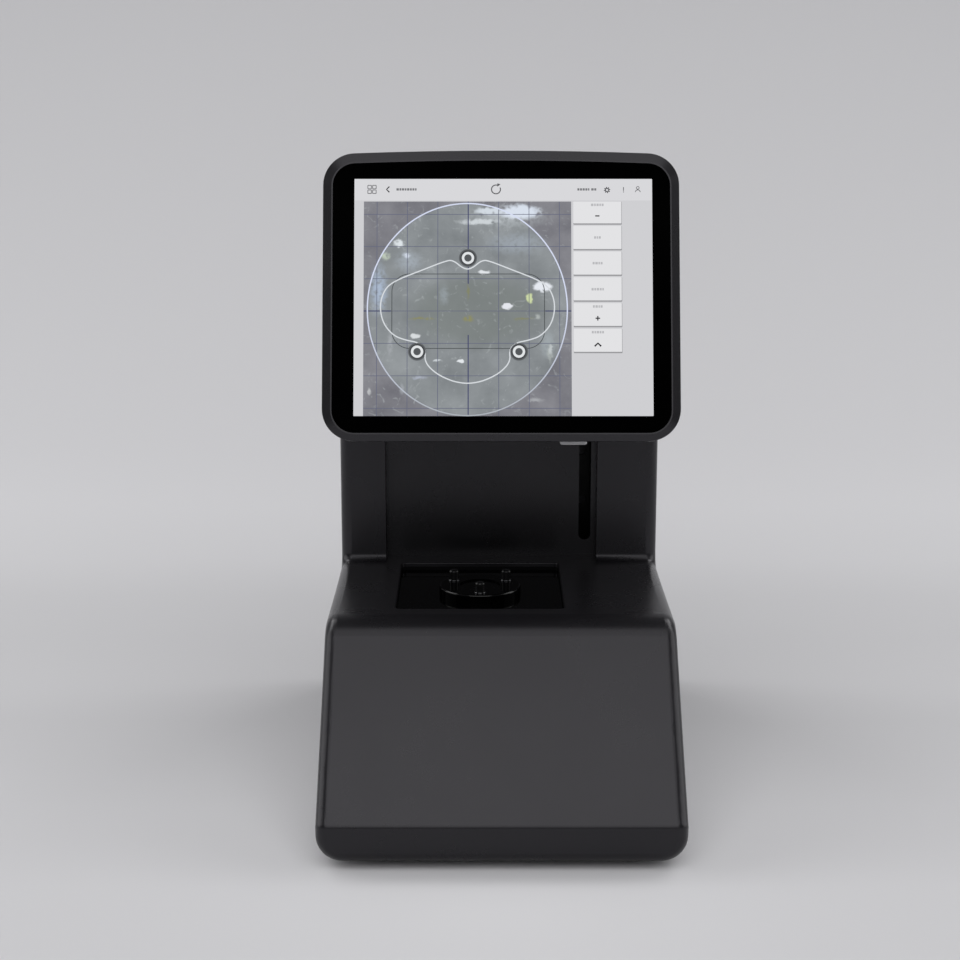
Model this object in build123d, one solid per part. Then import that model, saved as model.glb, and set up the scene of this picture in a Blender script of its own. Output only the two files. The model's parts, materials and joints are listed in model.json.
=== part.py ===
from build123d import *
from math import atan2, cos, degrees, hypot, radians, sin, sqrt, tan
import os

# A desk-top lens blocker. Millimetres, +Z up, the front faces -Y.
# The origin is on the table, under the middle of the unit's length and width.

# Housing outline
waist_width = 231.0
side_flare = 2.5
depth = 386.0
cheek_set_back = 244.0
recess_depth = 11.6
shell_bottom = 4.4
kink_height = 30.0
chin_set_back = 2.0
deck_height = 138.0
front_slope = 49.0
split_height = 288.0
head_top = 418.0
wall = 3.0
kink_radius = 4.0
bend_radius = 27.0
foot_radius = 5.0
belly_radius = 17.0
edge_radius = 8.0
rear_radius = 5.0
left_cheek_width = 32.9
right_cheek_width = 44.1

# Openings in the housing
bottom_opening_inset = 37.5
bottom_opening_margin = 28.0
bottom_opening_corner = 10.0
rear_opening_inset = 17.5
rear_opening_low = 22.0
rear_opening_high = 276.0
rear_opening_corner = 6.0
ledge_width = 8.0

# Sheet metal and screws
sheet = 2.0
pan_inset = 17.5
pan_margin = 13.0
pan_corner = 6.0
pan_screw_pitch = 80.0
rear_lap_x = 8.0
rear_lap_z = 6.0
rear_screw_offset = 4.5
rear_screw_inset = 14.0
screw_radius = 1.5
screw_head_radius = 2.8
screw_head_height = 2.0
screw_end = 2.0
free_fit = 0.2
screw_fit = 0.05
part_gap = 0.3
running_fit = 0.05

# Vents: rows of three slots
vent_length = 42.0
vent_width = 3.4
vent_corner = 1.6
vent_pitch = 9.0
vent_spread = 52.0
rear_vent_low = 196.0
rear_vent_rows = 7
head_vent_low = 316.0
head_vent_rows = 6

# Feet
foot_pad_radius = 11.0
foot_side_inset = 27.5
foot_inset = 28.0
foot_soft = 1.5
foot_recess = 3.0
foot_recess_gap = 0.6

# Stage
stage_aside = 76.9
stage_ahead = 67.0
stage_width = 114.0
stage_length = 118.0
stage_corner = 4.0
window_sink = 5.5
window_thickness = 3.0
window_overlap = 3.0
rim_softness = 0.8
stage_frame_margin = 7.0
stage_frame_corner = 6.0
stage_ledge = 7.0
ledge_corner = 3.0
diffuser_thickness = 2.0
diffuser_corner = 2.5
led_gap = 2.5
led_pitch = 18.0
led_count = 5
led_width = 3.5
led_length = 2.8
led_height = 0.9
board = 1.6
post_radius = 4.0
post_inset = 11.0
rest_radius = 28.5
rest_height = 5.8
rest_soft = 1.0
rest_dish_radius = 14.0
rest_dish_depth = 1.0
pin_circle = 42.4
pin_height = 7.8
pin_radius = 3.45
pin_soft = 1.4
pin_core_radius = 2.0
pin_core_depth = 3.0
pin_cap = 1.2
pin_flange_radius = 4.1
pin_flange = 1.0
pin_flange_soft = 0.4

# Column panel and slot
panel_thickness = 2.5
panel_overlap = 8.0
slot_inset = 8.3
slot_width = 8.7
slot_clear = 0.25

# Lift
lift_travel = 95.0
web_gap = 0.6
web_bottom = 250.0
web_top = 282.0
rail_width = 12.0
rail_thickness = 8.0
rail_back_y = 118.5
rail_spare = 30.0
rail_top = 296.0
rail_hole_start = 14.0
rail_hole_pitch = 37.5
rail_hole_count = 5
rail_hole_sink = 3.2
carriage_width = 27.0
carriage_thickness = 11.0
carriage_lap = 5.0
carriage_bottom = 243.0
carriage_top = 287.0
plate_thickness = 6.0
frame_thickness = 3.0
frame_left_reach = 51.1
frame_right_reach = 32.9
frame_top = 304.0
frame_foot_reach = 32.0
screw_offset = 28.1
screw_y = 93.5
lead_screw_radius = 4.0
lug_half = 11.0
lug_thickness = 6.0
hub_clear = 1.5
nut_flange_radius = 9.0
nut_flange = 3.5
nut_body_radius = 5.0
nut_body = 15.0
motor_size = 42.0
motor_corner = 5.0
motor_length = 40.0
motor_bore = 20.0
motor_boss_radius = 11.0
motor_boss = 2.0
shelf_top = 95.0
shelf_margin = 2.0
upper_shelf_half = 14.0
upper_shelf_reach = 12.0
bush_radius = 6.0
bush_flange_radius = 8.0
bush_flange = 2.0
bush_drop = 9.0
motor_shaft_radius = 2.5
coupling_radius = 8.0
coupling_gap = 3.0
coupling_grip_low = 10.0
coupling_grip_high = 14.0
coupling_slit = 1.0
screw_over = 1.0

# Swinging arm and chuck
pivot_ahead = 16.0
arm_swing_angle = 47.3
arm_bottom = 257.0
arm_thickness = 8.6
arm_end_radius = 13.0
arm_waist = 17.0
shaft_floor = 1.0
cup_radius = 13.5
cup_floor = 2.0
cup_height = 18.0
swing_motor_radius = 10.2
swing_motor_height = 17.5
swing_motor_fit = 0.1
swing_shaft_grip = 12.0
chuck_bottom = 248.2
chuck_size = 17.9
chuck_corner = 2.0
chuck_soft = 1.0
chuck_travel = 4.0
socket_radius = 6.0
socket_depth_up = 2.5
key_width = 3.0
key_half_length = 7.6
key_depth = 1.2
stem_radius = 5.5
clip_radius = 7.6
clip_thickness = 2.0
lip_thickness = 3.0
barrel_radius = 8.0
barrel_height = 13.0
barrel_cap = 2.0
barrel_cap_soft = 0.8
spring_radius = 6.3
spring_wire = 1.1
spring_turns = 4

# Monitor, in its own leaning plane
lean = 17.4
monitor_low_y = -104.7
monitor_low_z = 260.2
monitor_width = 232.2
monitor_height = 189.85
monitor_rise = 2.6
monitor_corner = 21.0
frame_depth = 16.0
frame_drop = 0.85
frame_taper = 1.0
bevel_depth = 2.6
bevel_lip = 1.0
glass_side_border = 6.45
glass_low = 4.4
glass_top_border = 7.35
glass_corner = 14.5
glass_shift = 0.15
glass_thickness = 2.2
glass_sink = 0.4
glass_soft = 0.4
glass_seat = 4.0
lcd_side_border = 8.15
lcd_low_border = 8.6
lcd_top_border = 8.5
lcd_shift = 0.9
lcd_thickness = 5.5
display_board_width = 120.0
display_board_length = 78.0
display_board_corner = 3.0
display_standoff = 2.4
display_standoff_radius = 2.5
display_standoff_inset = 6.0
display_chip = 30.0
display_chip_height = 2.2
display_plug_width = 20.0
display_plug_length = 32.0
display_plug_height = 3.0
back_depth = 10.0
back_inset = 3.0
back_wall = 2.5
back_soft = 6.0
back_vent_count = 17
back_vent_width = 3.2
back_vent_length = 16.0
back_vent_corner = 1.5
back_vent_drop = 22.0
mount_gap = 10.0
mount_pitch = 75.0
mount_size = 94.0
mount_corner = 8.0
mount_rim = 20.0
mount_rim_corner = 6.0
mount_screw_radius = 2.0
mount_screw_head_radius = 3.8
mount_screw_head = 2.6
mount_screw_end = 1.5
cable_way_inset = 4.0
cable_way_corner = 5.0

# Head
head_wall = 2.5
head_front_soft = 12.0
head_rear_soft = 22.0
head_edge = 7.0
floor_thickness = 3.0
floor_front_gap = 1.2
floor_cut_margin = 4.0
camera_hole_radius = 33.0
camera_window_radius = 37.0
camera_window_thickness = 2.0
ring_thickness = 2.2
ring_margin = 1.0
ring_lens_gap = 3.0
camera_size = 30.0
camera_corner = 2.0
camera_bottom = 314.0
camera_height = 34.0
lens_radius = 12.0
lens_low = 5.0
lens_hood = 10.0
lens_neck_radius = 10.0
lens_recess_radius = 9.0
lens_recess = 1.5
bracket_margin = 1.0
bracket_foot = 14.0

# Back panel fittings
inlet_inset = 26.0
inlet_z = 54.0
inlet_width = 32.0
inlet_height = 64.0
inlet_flange = 2.5
inlet_body_width = 27.0
inlet_body_height = 58.0
inlet_body_depth = 40.0
inlet_corner = 3.0
inlet_spacing = 3.0
socket_width = 24.5
socket_height = 17.0
socket_depth = 16.0
socket_corner = 3.0
core_half_width = 9.5
core_half_height = 5.4
core_sink = 1.0
pin_slot_half_width = 1.3
pin_slot_half_height = 2.3
blade_half_width = 1.0
blade_half_height = 2.0
blade_sink = 2.0
blade_spread = 6.0
blade_drop = 1.6
blade_rise = 1.8
drawer_width = 23.0
drawer_height = 8.0
drawer_depth = 26.0
drawer_sink = 0.2
grip_half_width = 3.0
grip_depth = 2.0
fuse_radius = 2.6
fuse_half_length = 10.0
fuse_fit = 0.05
fuse_behind = 12.0
fuse_rise = 1.5
rocker_width = 13.0
rocker_radius = 9.7
rocker_tilt = 8.0
rocker_sink = 8.6
rocker_well = 6.0
rocker_front = 4.0
rocker_back = 2.0
rocker_pin_radius = 1.5
rocker_pin = 1.0
network_x = -22.0
network_width = 16.0
network_height = 13.4
data_port_x = (2.0, 24.0)
data_port_width = 13.4
data_port_height = 6.2
port_bottom = 32.0
port_wall = 0.7
port_depth = 14.0
port_hollow = 11.0
port_proud = 0.8
port_plate_margin = 4.5
port_plate_lap = 2.5
port_plate_flange = 1.0
io_board_left = 36.0
io_board_right = 38.0
io_board_depth = 43.5
io_board_gap = 0.5
io_post_inset = 5.0
io_post_ahead = 33.0
io_post_behind = 6.0
fan_inset = 23.0
fan_z = 52.0
fan_size = 40.0
fan_corner = 3.0
fan_depth = 15.0
fan_blades = 7
fan_radius = 18.0
fan_gap = 0.8
fan_hub_radius = 10.0
fan_hub_plate = 1.5
fan_arm_width = 2.4
fan_arm_start = 4.0
fan_arm_short = 9.0
fan_spindle_radius = 1.5
fan_spindle = 6.5
fan_spindle_bore = 7.0
fan_blade_thickness = 1.2
fan_blade_pitch = 30.0
fan_back_gap = 1.0
grille_pitch = 5.2
grille_width = 3.2
grille_corner = 1.5

# Electronics on the pan
standoff = 8.0
standoff_radius = 3.0
supply_width = 86.0
supply_length = 74.0
supply_behind = 55.0
supply_post_inset = 5.0
transformer_height = 26.0
heat_sink_height = 24.0
capacitor_radius = 7.0
capacitor_height = 20.0
terminal_height = 9.0
main_board_half = 72.0
main_board_ahead = 34.0
main_board_length = 82.0
main_post_inset = 6.0
main_chip_height = 9.0
main_plug_height = 7.0
main_memory_height = 2.0
small_capacitor_radius = 4.0
small_capacitor_height = 11.0

chin_width = waist_width + 2 * side_flare
front_y = -depth / 2
back_y = depth / 2
bottom_opening_half = waist_width / 2 - bottom_opening_inset
rear_opening_half = waist_width / 2 - rear_opening_inset
pan_half_width = waist_width / 2 - pan_inset
foot_x = waist_width / 2 - foot_side_inset
recess_left = left_cheek_width - waist_width / 2
recess_right = waist_width / 2 - right_cheek_width
slot_x = recess_right - slot_inset
stage_x = slot_x - stage_aside
frame_left = slot_x - frame_left_reach
frame_right = slot_x + frame_right_reach
screw_x = slot_x - screw_offset
inlet_x = inlet_inset - rear_opening_half
fan_x = rear_opening_half - fan_inset
cheek_y = front_y + cheek_set_back
panel_y = cheek_y + recess_depth
stage_y = cheek_y - stage_ahead
floor_top = shell_bottom + wall
pan_top = floor_top + sheet
window_top = deck_height - window_sink
window_bottom = window_top - window_thickness
light_board_top = window_bottom - diffuser_thickness - led_gap
rest_top = window_top + rest_height
slot_bottom = web_bottom - lift_travel - slot_width / 2 - slot_clear
rail_bottom = carriage_bottom - lift_travel - rail_spare
chuck_skirt = arm_bottom - chuck_bottom - chuck_travel - free_fit
clip_top = arm_bottom + lip_thickness + clip_thickness
pivot_x = slot_x
pivot_y = cheek_y - pivot_ahead
arm_radius = hypot(stage_x - pivot_x, stage_y - pivot_y)
arm_angle = degrees(atan2(stage_y - pivot_y, stage_x - pivot_x)) + arm_swing_angle
chuck_x = pivot_x + arm_radius * cos(radians(arm_angle))
chuck_y = pivot_y + arm_radius * sin(radians(arm_angle))
rail_front_y = rail_back_y - rail_thickness
carriage_front_y = rail_front_y - carriage_lap
plate_front_y = carriage_front_y - plate_thickness
web_half = slot_width / 2 - web_gap
cup_bottom = arm_bottom + arm_thickness + part_gap
shelf_bottom = shelf_top - frame_thickness
coupling_bottom = shelf_top + coupling_gap
screw_bottom = coupling_bottom + coupling_grip_low
coupling_top = screw_bottom + coupling_grip_high
bush_flange_bottom = frame_top - bush_drop
bush_flange_top = bush_flange_bottom + bush_flange
upper_shelf_top = bush_flange_top + frame_thickness
glass_width = monitor_width - 2 * glass_side_border
glass_high = monitor_height - glass_top_border
lcd_width = glass_width - 2 * lcd_side_border
lcd_low = glass_low + lcd_low_border
lcd_high = glass_high - lcd_top_border
back_n = -frame_depth - back_depth
mount_n = back_n - mount_gap
panel_back_y = back_y - wall
panel_front_y = panel_back_y - sheet
inlet_face_y = panel_back_y + inlet_flange
socket_z = inlet_z - inlet_body_height / 2 + inlet_spacing + socket_height / 2
drawer_z = socket_z + socket_height / 2 + inlet_spacing + drawer_height / 2
rocker_z = drawer_z + drawer_height / 2 + inlet_spacing + rocker_radius + part_gap
fuse_y = inlet_face_y - fuse_behind
fuse_z = drawer_z + fuse_rise
fan_front_y = panel_front_y - fan_depth
rocker_y = back_y - rocker_sink
parts = {}


def block(x0, x1, y0, y1, z0, z1):
    return Pos((x0 + x1) / 2, (y0 + y1) / 2, (z0 + z1) / 2) * Box(x1 - x0, y1 - y0, z1 - z0)


def slab(x, y, width, length, z0, z1, corner):
    outline = Rectangle(width, length)
    if corner:
        outline = fillet(outline.vertices(), corner)
    return Pos(x, y, z0) * extrude(outline, amount=z1 - z0)


def rod(x, y, z0, z1, radius):
    return Pos(x, y, (z0 + z1) / 2) * Cylinder(radius, z1 - z0)


def rod_y(x, z, y0, y1, radius):
    return Pos(x, (y0 + y1) / 2, z) * Rot(90, 0, 0) * Cylinder(radius, y1 - y0)


def rod_x(y, z, x0, x1, radius):
    return Pos((x0 + x1) / 2, y, z) * Rot(0, 90, 0) * Cylinder(radius, x1 - x0)


def tube(x, y, z0, z1, outer, inner):
    return rod(x, y, z0, z1, outer) - rod(x, y, z0 - 1, z1 + 1, inner)


def together(shapes):
    return Compound([solid for shape in shapes for solid in shape.solids()])


def upright_slab(x, z, width, height, y0, y1, corner):
    """A rounded plate that stands in the XZ plane, from y0 to y1."""
    outline = fillet(Rectangle(width, height).vertices(), corner)
    return Pos(x, y1, z) * Rot(90, 0, 0) * extrude(outline, amount=y1 - y0)


def around_stage(half_x, half_y):
    return [(stage_x + i * half_x, stage_y + j * half_y) for i in (-1, 1) for j in (-1, 1)]


foot_places = [(i * foot_x, j * (back_y - foot_inset)) for i in (-1, 1) for j in (-1, 1)]
pan_places = [(i * foot_x, j * pan_screw_pitch) for i in (-1, 1) for j in (-1, 0, 1)]
rear_screw_heights = (rear_opening_low + rear_screw_inset, (rear_opening_low + rear_opening_high) / 2,
                      rear_opening_high - rear_screw_inset)
rear_places = [(i * (rear_opening_half + rear_screw_offset), z) for i in (-1, 1) for z in rear_screw_heights]
blade_places = [(inlet_x - blade_spread, socket_z - blade_drop), (inlet_x, socket_z + blade_rise),
                (inlet_x + blade_spread, socket_z - blade_drop)]
rail_hole_heights = [rail_bottom + rail_hole_start + rail_hole_pitch * i for i in range(rail_hole_count)]


# The housing: one outer form, used for the shell and, inset, for its hollow
def side_x(y, inset):
    """Half of the unit's width at y. The sides flare from the cheeks to the chin in one long arc."""
    radius = (cheek_set_back ** 2 + side_flare ** 2) / (2 * side_flare)
    ahead = max(0.0, cheek_y - y)
    return waist_width / 2 - inset + radius - sqrt(radius ** 2 - ahead ** 2)


def plan_face(inset):
    chin, waist = chin_width / 2 - inset, waist_width / 2 - inset
    right = TangentArc((waist, cheek_y), (chin, front_y), tangent=(0, -1))
    left = TangentArc((-waist, cheek_y), (-chin, front_y), tangent=(0, -1))
    front = Line((chin, front_y), (-chin, front_y))
    rest = Polyline((waist, cheek_y), (waist, back_y + 1), (-waist, back_y + 1), (-waist, cheek_y))
    return make_face([right, left, front, rest])


def side_profile():
    kink = (front_y, kink_height)
    bend = (front_y + (deck_height - kink_height) / tan(radians(front_slope)), deck_height)
    foot = (cheek_y, deck_height)
    points = [(front_y + chin_set_back, shell_bottom), kink, bend, foot,
              (cheek_y, split_height), (back_y, split_height), (back_y, shell_bottom)]
    face = make_face(Polyline(*points, close=True))
    for point, radius in ((kink, kink_radius), (bend, bend_radius), (foot, foot_radius)):
        face = fillet(face.vertices().sort_by_distance(Vector(*point, 0))[0], radius)
    return face


def housing_block(inset):
    face = side_profile()
    if inset:
        face = offset(face, amount=-inset, kind=Kind.INTERSECTION)
    body = extrude(Plane.YZ * face, amount=chin_width, both=True)
    body = body & extrude(plan_face(inset), amount=split_height + 20)
    low = shell_bottom + inset

    def spread(edge):
        return [edge @ 0.1, edge @ 0.5, edge @ 0.9]

    def on_side(edge):
        return all(abs(abs(p.X) - side_x(p.Y, inset)) < 0.02 for p in spread(edge))

    def on_front(edge):
        points = spread(edge)
        chin = all(p.Z < kink_height and p.Y < front_y + chin_set_back + inset + 0.3 for p in points)
        level = max(p.Z for p in points) - min(p.Z for p in points) < 0.01 and points[0].Z > low + 1
        seam = all(abs(p.Y - cheek_y) < 0.01 and p.Z < deck_height for p in points)
        flank = on_side(edge) and all(p.Z > kink_height - 3 and p.Y < cheek_y + inset + 0.1 for p in points)
        return (chin and not level) or (flank and not seam)

    def on_rear(edge):
        behind = all(p.Y > back_y - inset - 0.01 for p in spread(edge))
        return behind and (edge @ 0.5).Z < split_height - inset - 0.1

    belly = [e for e in body.edges() if on_side(e) and abs((e @ 0.5).Z - low) < 0.01]
    body = fillet(belly, belly_radius - inset)
    body = fillet([e for e in body.edges() if on_front(e)], edge_radius - inset)
    return fillet([e for e in body.edges() if on_rear(e)], rear_radius - inset)


def main_cover():
    shell = housing_block(0.0) - housing_block(wall)
    inside = deck_height - wall
    shell += block(recess_left - wall, recess_right + wall, cheek_y, panel_y, inside, split_height)
    recess_front = cheek_y - foot_radius - 1
    shell -= block(recess_left, recess_right, recess_front, panel_y, deck_height, split_height + 1)
    shell -= slab(stage_x, stage_y, stage_width, stage_length, inside - 1, deck_height + 1, stage_corner)
    rim = [e for e in shell.edges() if abs((e @ 0.5).Z - deck_height) < 0.01
           and abs((e @ 0.5).X - stage_x) < stage_width / 2 + 0.1
           and abs((e @ 0.5).Y - stage_y) < stage_length / 2 + 0.1]
    shell = fillet(rim, rim_softness)
    shell -= slab(0, 0, 2 * bottom_opening_half, depth - 2 * bottom_opening_margin, 0, floor_top + 1,
                  bottom_opening_corner)
    shell -= upright_slab(0, (rear_opening_low + rear_opening_high) / 2, 2 * rear_opening_half,
                          rear_opening_high - rear_opening_low, panel_back_y - 1, back_y + 1,
                          rear_opening_corner)
    half = waist_width / 2 - wall - ledge_width
    shell -= block(-half, half, panel_y + panel_thickness + ledge_width, back_y - wall - ledge_width,
                   split_height - wall - 1, split_height + 1)
    for x, y in foot_places + pan_places:
        shell -= rod(x, y, 0, floor_top + 1, screw_radius + free_fit)
    for x, z in rear_places:
        shell -= rod_y(x, z, panel_back_y - 1, back_y + 1, screw_radius + free_fit)
        shell -= rod_y(x, z, back_y - screw_head_height, back_y + 1, screw_head_radius + free_fit)
    return shell


def base_pan():
    plate = slab(0, 0, 2 * pan_half_width, depth - 2 * pan_margin, floor_top, pan_top, pan_corner)
    for x, y in foot_places + pan_places:
        plate -= rod(x, y, 0, pan_top + 1, screw_radius + screw_fit)
    return plate


def column_panel():
    middle = (recess_left + recess_right) / 2
    half = (recess_right - recess_left) / 2 + panel_overlap
    bottom, top = deck_height - panel_overlap, split_height - wall
    plate = block(middle - half, middle + half, panel_y, panel_y + panel_thickness, bottom, top)
    y0, y1 = panel_y - 1, panel_y + panel_thickness + 1
    plate -= rod_y(slot_x, slot_bottom + slot_width / 2, y0, y1, slot_width / 2)
    slot_left, slot_right = slot_x - slot_width / 2, slot_x + slot_width / 2
    return plate - block(slot_left, slot_right, y0, y1, slot_bottom + slot_width / 2, top + 1)


def vent_places(low, rows):
    return [(x, low + vent_pitch * row) for row in range(rows) for x in (-vent_spread, 0.0, vent_spread)]


def rear_panel():
    half = rear_opening_half + rear_lap_x
    low, high = rear_opening_low - rear_lap_z, rear_opening_high + rear_lap_z
    plate = block(-half, half, panel_front_y, panel_back_y, low, high)
    y0, y1 = panel_front_y - 1, panel_back_y + 1
    for x, z in rear_places:
        plate -= rod_y(x, z, y0, y1, screw_radius + screw_fit)
    for x, z in vent_places(rear_vent_low, rear_vent_rows):
        plate -= upright_slab(x, z, vent_length, vent_width, y0, y1, vent_corner)
    half_width, half_height = inlet_body_width / 2 + free_fit, inlet_body_height / 2 + free_fit
    plate -= block(inlet_x - half_width, inlet_x + half_width, y0, y1,
                   inlet_z - half_height, inlet_z + half_height)
    left, right, bottom, top = port_plate_edges(free_fit)
    plate -= block(left, right, y0, y1, bottom, top)
    for step in range(-3, 4):
        aside = grille_pitch * step
        reach = sqrt(fan_radius ** 2 - aside ** 2)
        plate -= upright_slab(fan_x + aside, fan_z, grille_width, 2 * reach, y0, y1, grille_corner)
    return plate


def feet():
    pads = []
    for x, y in foot_places:
        pad = rod(x, y, 0, shell_bottom, foot_pad_radius)
        pad = fillet(pad.edges().group_by(Axis.Z)[0], foot_soft)
        pad -= rod(x, y, -1, foot_recess, screw_head_radius + foot_recess_gap)
        pads.append(pad - rod(x, y, 0, shell_bottom + 1, screw_radius + free_fit))
    return together(pads)


def foot_screws():
    screws = []
    for x, y in foot_places:
        head = rod(x, y, foot_recess - screw_head_height, foot_recess, screw_head_radius)
        screws.append(head + rod(x, y, foot_recess, pan_top + screw_end, screw_radius))
    return together(screws)


def pan_screws():
    screws = []
    for x, y in pan_places:
        head = rod(x, y, shell_bottom - screw_head_height, shell_bottom, screw_head_radius)
        screws.append(head + rod(x, y, shell_bottom, pan_top + screw_end, screw_radius))
    return together(screws)


def rear_screws():
    screws = []
    for x, z in rear_places:
        head = rod_y(x, z, back_y - screw_head_height, back_y - screw_fit, screw_head_radius)
        screws.append(head + rod_y(x, z, panel_front_y - screw_end, back_y - screw_head_height, screw_radius))
    return together(screws)


# The stage: a lit black window let into the deck, and the three-pin lens rest on it
def stage_frame():
    body = slab(stage_x, stage_y, stage_width + 2 * stage_frame_margin, stage_length + 2 * stage_frame_margin,
                light_board_top, deck_height - wall, stage_frame_corner)
    body -= slab(stage_x, stage_y, stage_width, stage_length, window_bottom, deck_height, stage_corner)
    seat = window_overlap + part_gap
    body -= slab(stage_x, stage_y, stage_width + 2 * seat, stage_length + 2 * seat, window_bottom, window_top,
                 stage_corner)
    return body - slab(stage_x, stage_y, stage_width - 2 * stage_ledge, stage_length - 2 * stage_ledge,
                       light_board_top - 1, window_top, ledge_corner)


def stage_window():
    return slab(stage_x, stage_y, stage_width + 2 * window_overlap, stage_length + 2 * window_overlap,
                window_bottom, window_top, stage_corner)


def light_diffuser():
    inset = 2 * (stage_ledge + part_gap)
    return slab(stage_x, stage_y, stage_width - inset, stage_length - inset,
                window_bottom - diffuser_thickness, window_bottom, diffuser_corner)


def stage_light_board():
    top = light_board_top
    plate = slab(stage_x, stage_y, stage_width - 2 * board, stage_length - 2 * board, top - board, top,
                 ledge_corner)
    steps = [led_pitch * (i - (led_count - 1) / 2) for i in range(led_count)]
    for x in steps:
        for y in steps:
            plate += slab(stage_x + x, stage_y + y, led_width, led_length, top, top + led_height, 0)
    return plate


def stage_posts():
    top = light_board_top - board
    places = around_stage(stage_width / 2 - post_inset, stage_length / 2 - post_inset)
    return together([rod(x, y, pan_top, top, post_radius) for x, y in places])


def pin_places():
    ring = pin_circle / 2
    return [(stage_x + ring * cos(radians(a)), stage_y + ring * sin(radians(a))) for a in (-90, 30, 150)]


def lens_rest():
    disc = rod(stage_x, stage_y, window_top, rest_top, rest_radius)
    disc = fillet(disc.edges().group_by(Axis.Z)[-1], rest_soft)
    disc -= rod(stage_x, stage_y, rest_top - rest_dish_depth, rest_top + 1, rest_dish_radius)
    for x, y in pin_places():
        disc -= rod(x, y, rest_top - pin_core_depth, rest_top + 1, pin_core_radius + screw_fit)
    return disc


def rest_pins():
    pins = []
    for x, y in pin_places():
        flange = rod(x, y, rest_top, rest_top + pin_flange, pin_flange_radius)
        flange = fillet(flange.edges().group_by(Axis.Z)[-1], pin_flange_soft)
        core = rod(x, y, rest_top - pin_core_depth, rest_top + pin_height - pin_cap, pin_core_radius)
        pins.append(flange + core)
    return together(pins)


def pin_tips():
    tips = []
    for x, y in pin_places():
        tip = rod(x, y, rest_top + pin_flange, rest_top + pin_height, pin_radius)
        tip = fillet(tip.edges().group_by(Axis.Z)[-1], pin_soft)
        tips.append(tip - rod(x, y, rest_top, rest_top + pin_height - pin_cap, pin_core_radius + screw_fit))
    return together(tips)


# The lift: rail, carriage, lead screw and motor behind the slotted panel
def lift_frame():
    body = block(frame_left, frame_right, rail_back_y, rail_back_y + frame_thickness, pan_top, frame_top)
    body += block(frame_left, frame_right, rail_back_y + frame_thickness, rail_back_y + frame_foot_reach,
                  pan_top, pan_top + frame_thickness)
    half = motor_size / 2 + shelf_margin
    body += block(screw_x - half, screw_x + half, screw_y - half, rail_back_y, shelf_bottom, shelf_top)
    body += block(screw_x - upper_shelf_half, screw_x + upper_shelf_half, screw_y - upper_shelf_reach,
                  rail_back_y, bush_flange_top, upper_shelf_top)
    body -= rod(screw_x, screw_y, shelf_bottom - 1, shelf_top + 1, motor_boss_radius + free_fit)
    body -= rod(screw_x, screw_y, bush_flange_top - 1, upper_shelf_top + 1, bush_radius)
    for z in rail_hole_heights:
        body -= rod_y(slot_x, z, rail_back_y - 1, rail_back_y + frame_thickness + 1, screw_radius + screw_fit)
    return body


def guide_rail():
    half = rail_width / 2
    rail = block(slot_x - half, slot_x + half, rail_front_y, rail_back_y, rail_bottom, rail_top)
    seat_y = rail_front_y + rail_hole_sink
    for z in rail_hole_heights:
        rail -= rod_y(slot_x, z, rail_front_y - 1, rail_back_y + 1, screw_radius + free_fit)
        rail -= rod_y(slot_x, z, rail_front_y - 1, seat_y, screw_head_radius + free_fit)
    return rail


def rail_screws():
    seat_y = rail_front_y + rail_hole_sink
    screws = []
    for z in rail_hole_heights:
        head = rod_y(slot_x, z, seat_y - screw_head_height, seat_y, screw_head_radius)
        screws.append(head + rod_y(slot_x, z, seat_y, rail_back_y + frame_thickness + 1, screw_radius))
    return together(screws)


def rail_carriage():
    body = block(slot_x - carriage_width / 2, slot_x + carriage_width / 2, carriage_front_y,
                 carriage_front_y + carriage_thickness, carriage_bottom, carriage_top)
    return body - block(slot_x - rail_width / 2 - running_fit, slot_x + rail_width / 2 + running_fit,
                        rail_front_y - running_fit, rail_back_y, carriage_bottom - 1, carriage_top + 1)


def lift_bracket():
    body = block(screw_x - lug_half, slot_x + carriage_width / 2, plate_front_y, carriage_front_y,
                 carriage_bottom, carriage_top)
    body += block(screw_x - lug_half, screw_x + lug_half, screw_y - lug_half, plate_front_y,
                  carriage_bottom, carriage_bottom + lug_thickness)
    hub_back = pivot_y + arm_end_radius + hub_clear
    body += block(slot_x - web_half, slot_x + web_half, hub_back, plate_front_y, web_bottom, web_top)
    body += block(slot_x - web_half, slot_x + web_half, pivot_y, plate_front_y, cup_bottom, web_top)
    body += rod(pivot_x, pivot_y, cup_bottom, cup_bottom + cup_height, cup_radius)
    body -= rod(pivot_x, pivot_y, cup_bottom + cup_floor, carriage_top, swing_motor_radius + swing_motor_fit)
    body -= rod(pivot_x, pivot_y, cup_bottom - 1, web_top, motor_shaft_radius + running_fit)
    return body - rod(screw_x, screw_y, carriage_bottom - 1, carriage_top, nut_body_radius + screw_fit)


def screw_nut():
    body = rod(screw_x, screw_y, carriage_bottom - nut_flange, carriage_bottom, nut_flange_radius)
    body += rod(screw_x, screw_y, carriage_bottom, carriage_bottom - nut_flange + nut_body, nut_body_radius)
    return body - rod(screw_x, screw_y, 0, split_height, lead_screw_radius + running_fit)


def lift_motor():
    bottom = shelf_bottom - motor_length
    body = slab(screw_x, screw_y, motor_size, motor_size, bottom, shelf_bottom, motor_corner)
    body += rod(screw_x, screw_y, shelf_bottom, shelf_bottom + motor_boss, motor_boss_radius)
    bore = motor_shaft_radius + running_fit
    return body - rod(screw_x, screw_y, shelf_bottom - motor_bore, shelf_top, bore)


def motor_shaft():
    return rod(screw_x, screw_y, shelf_bottom - motor_bore, screw_bottom, motor_shaft_radius)


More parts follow.
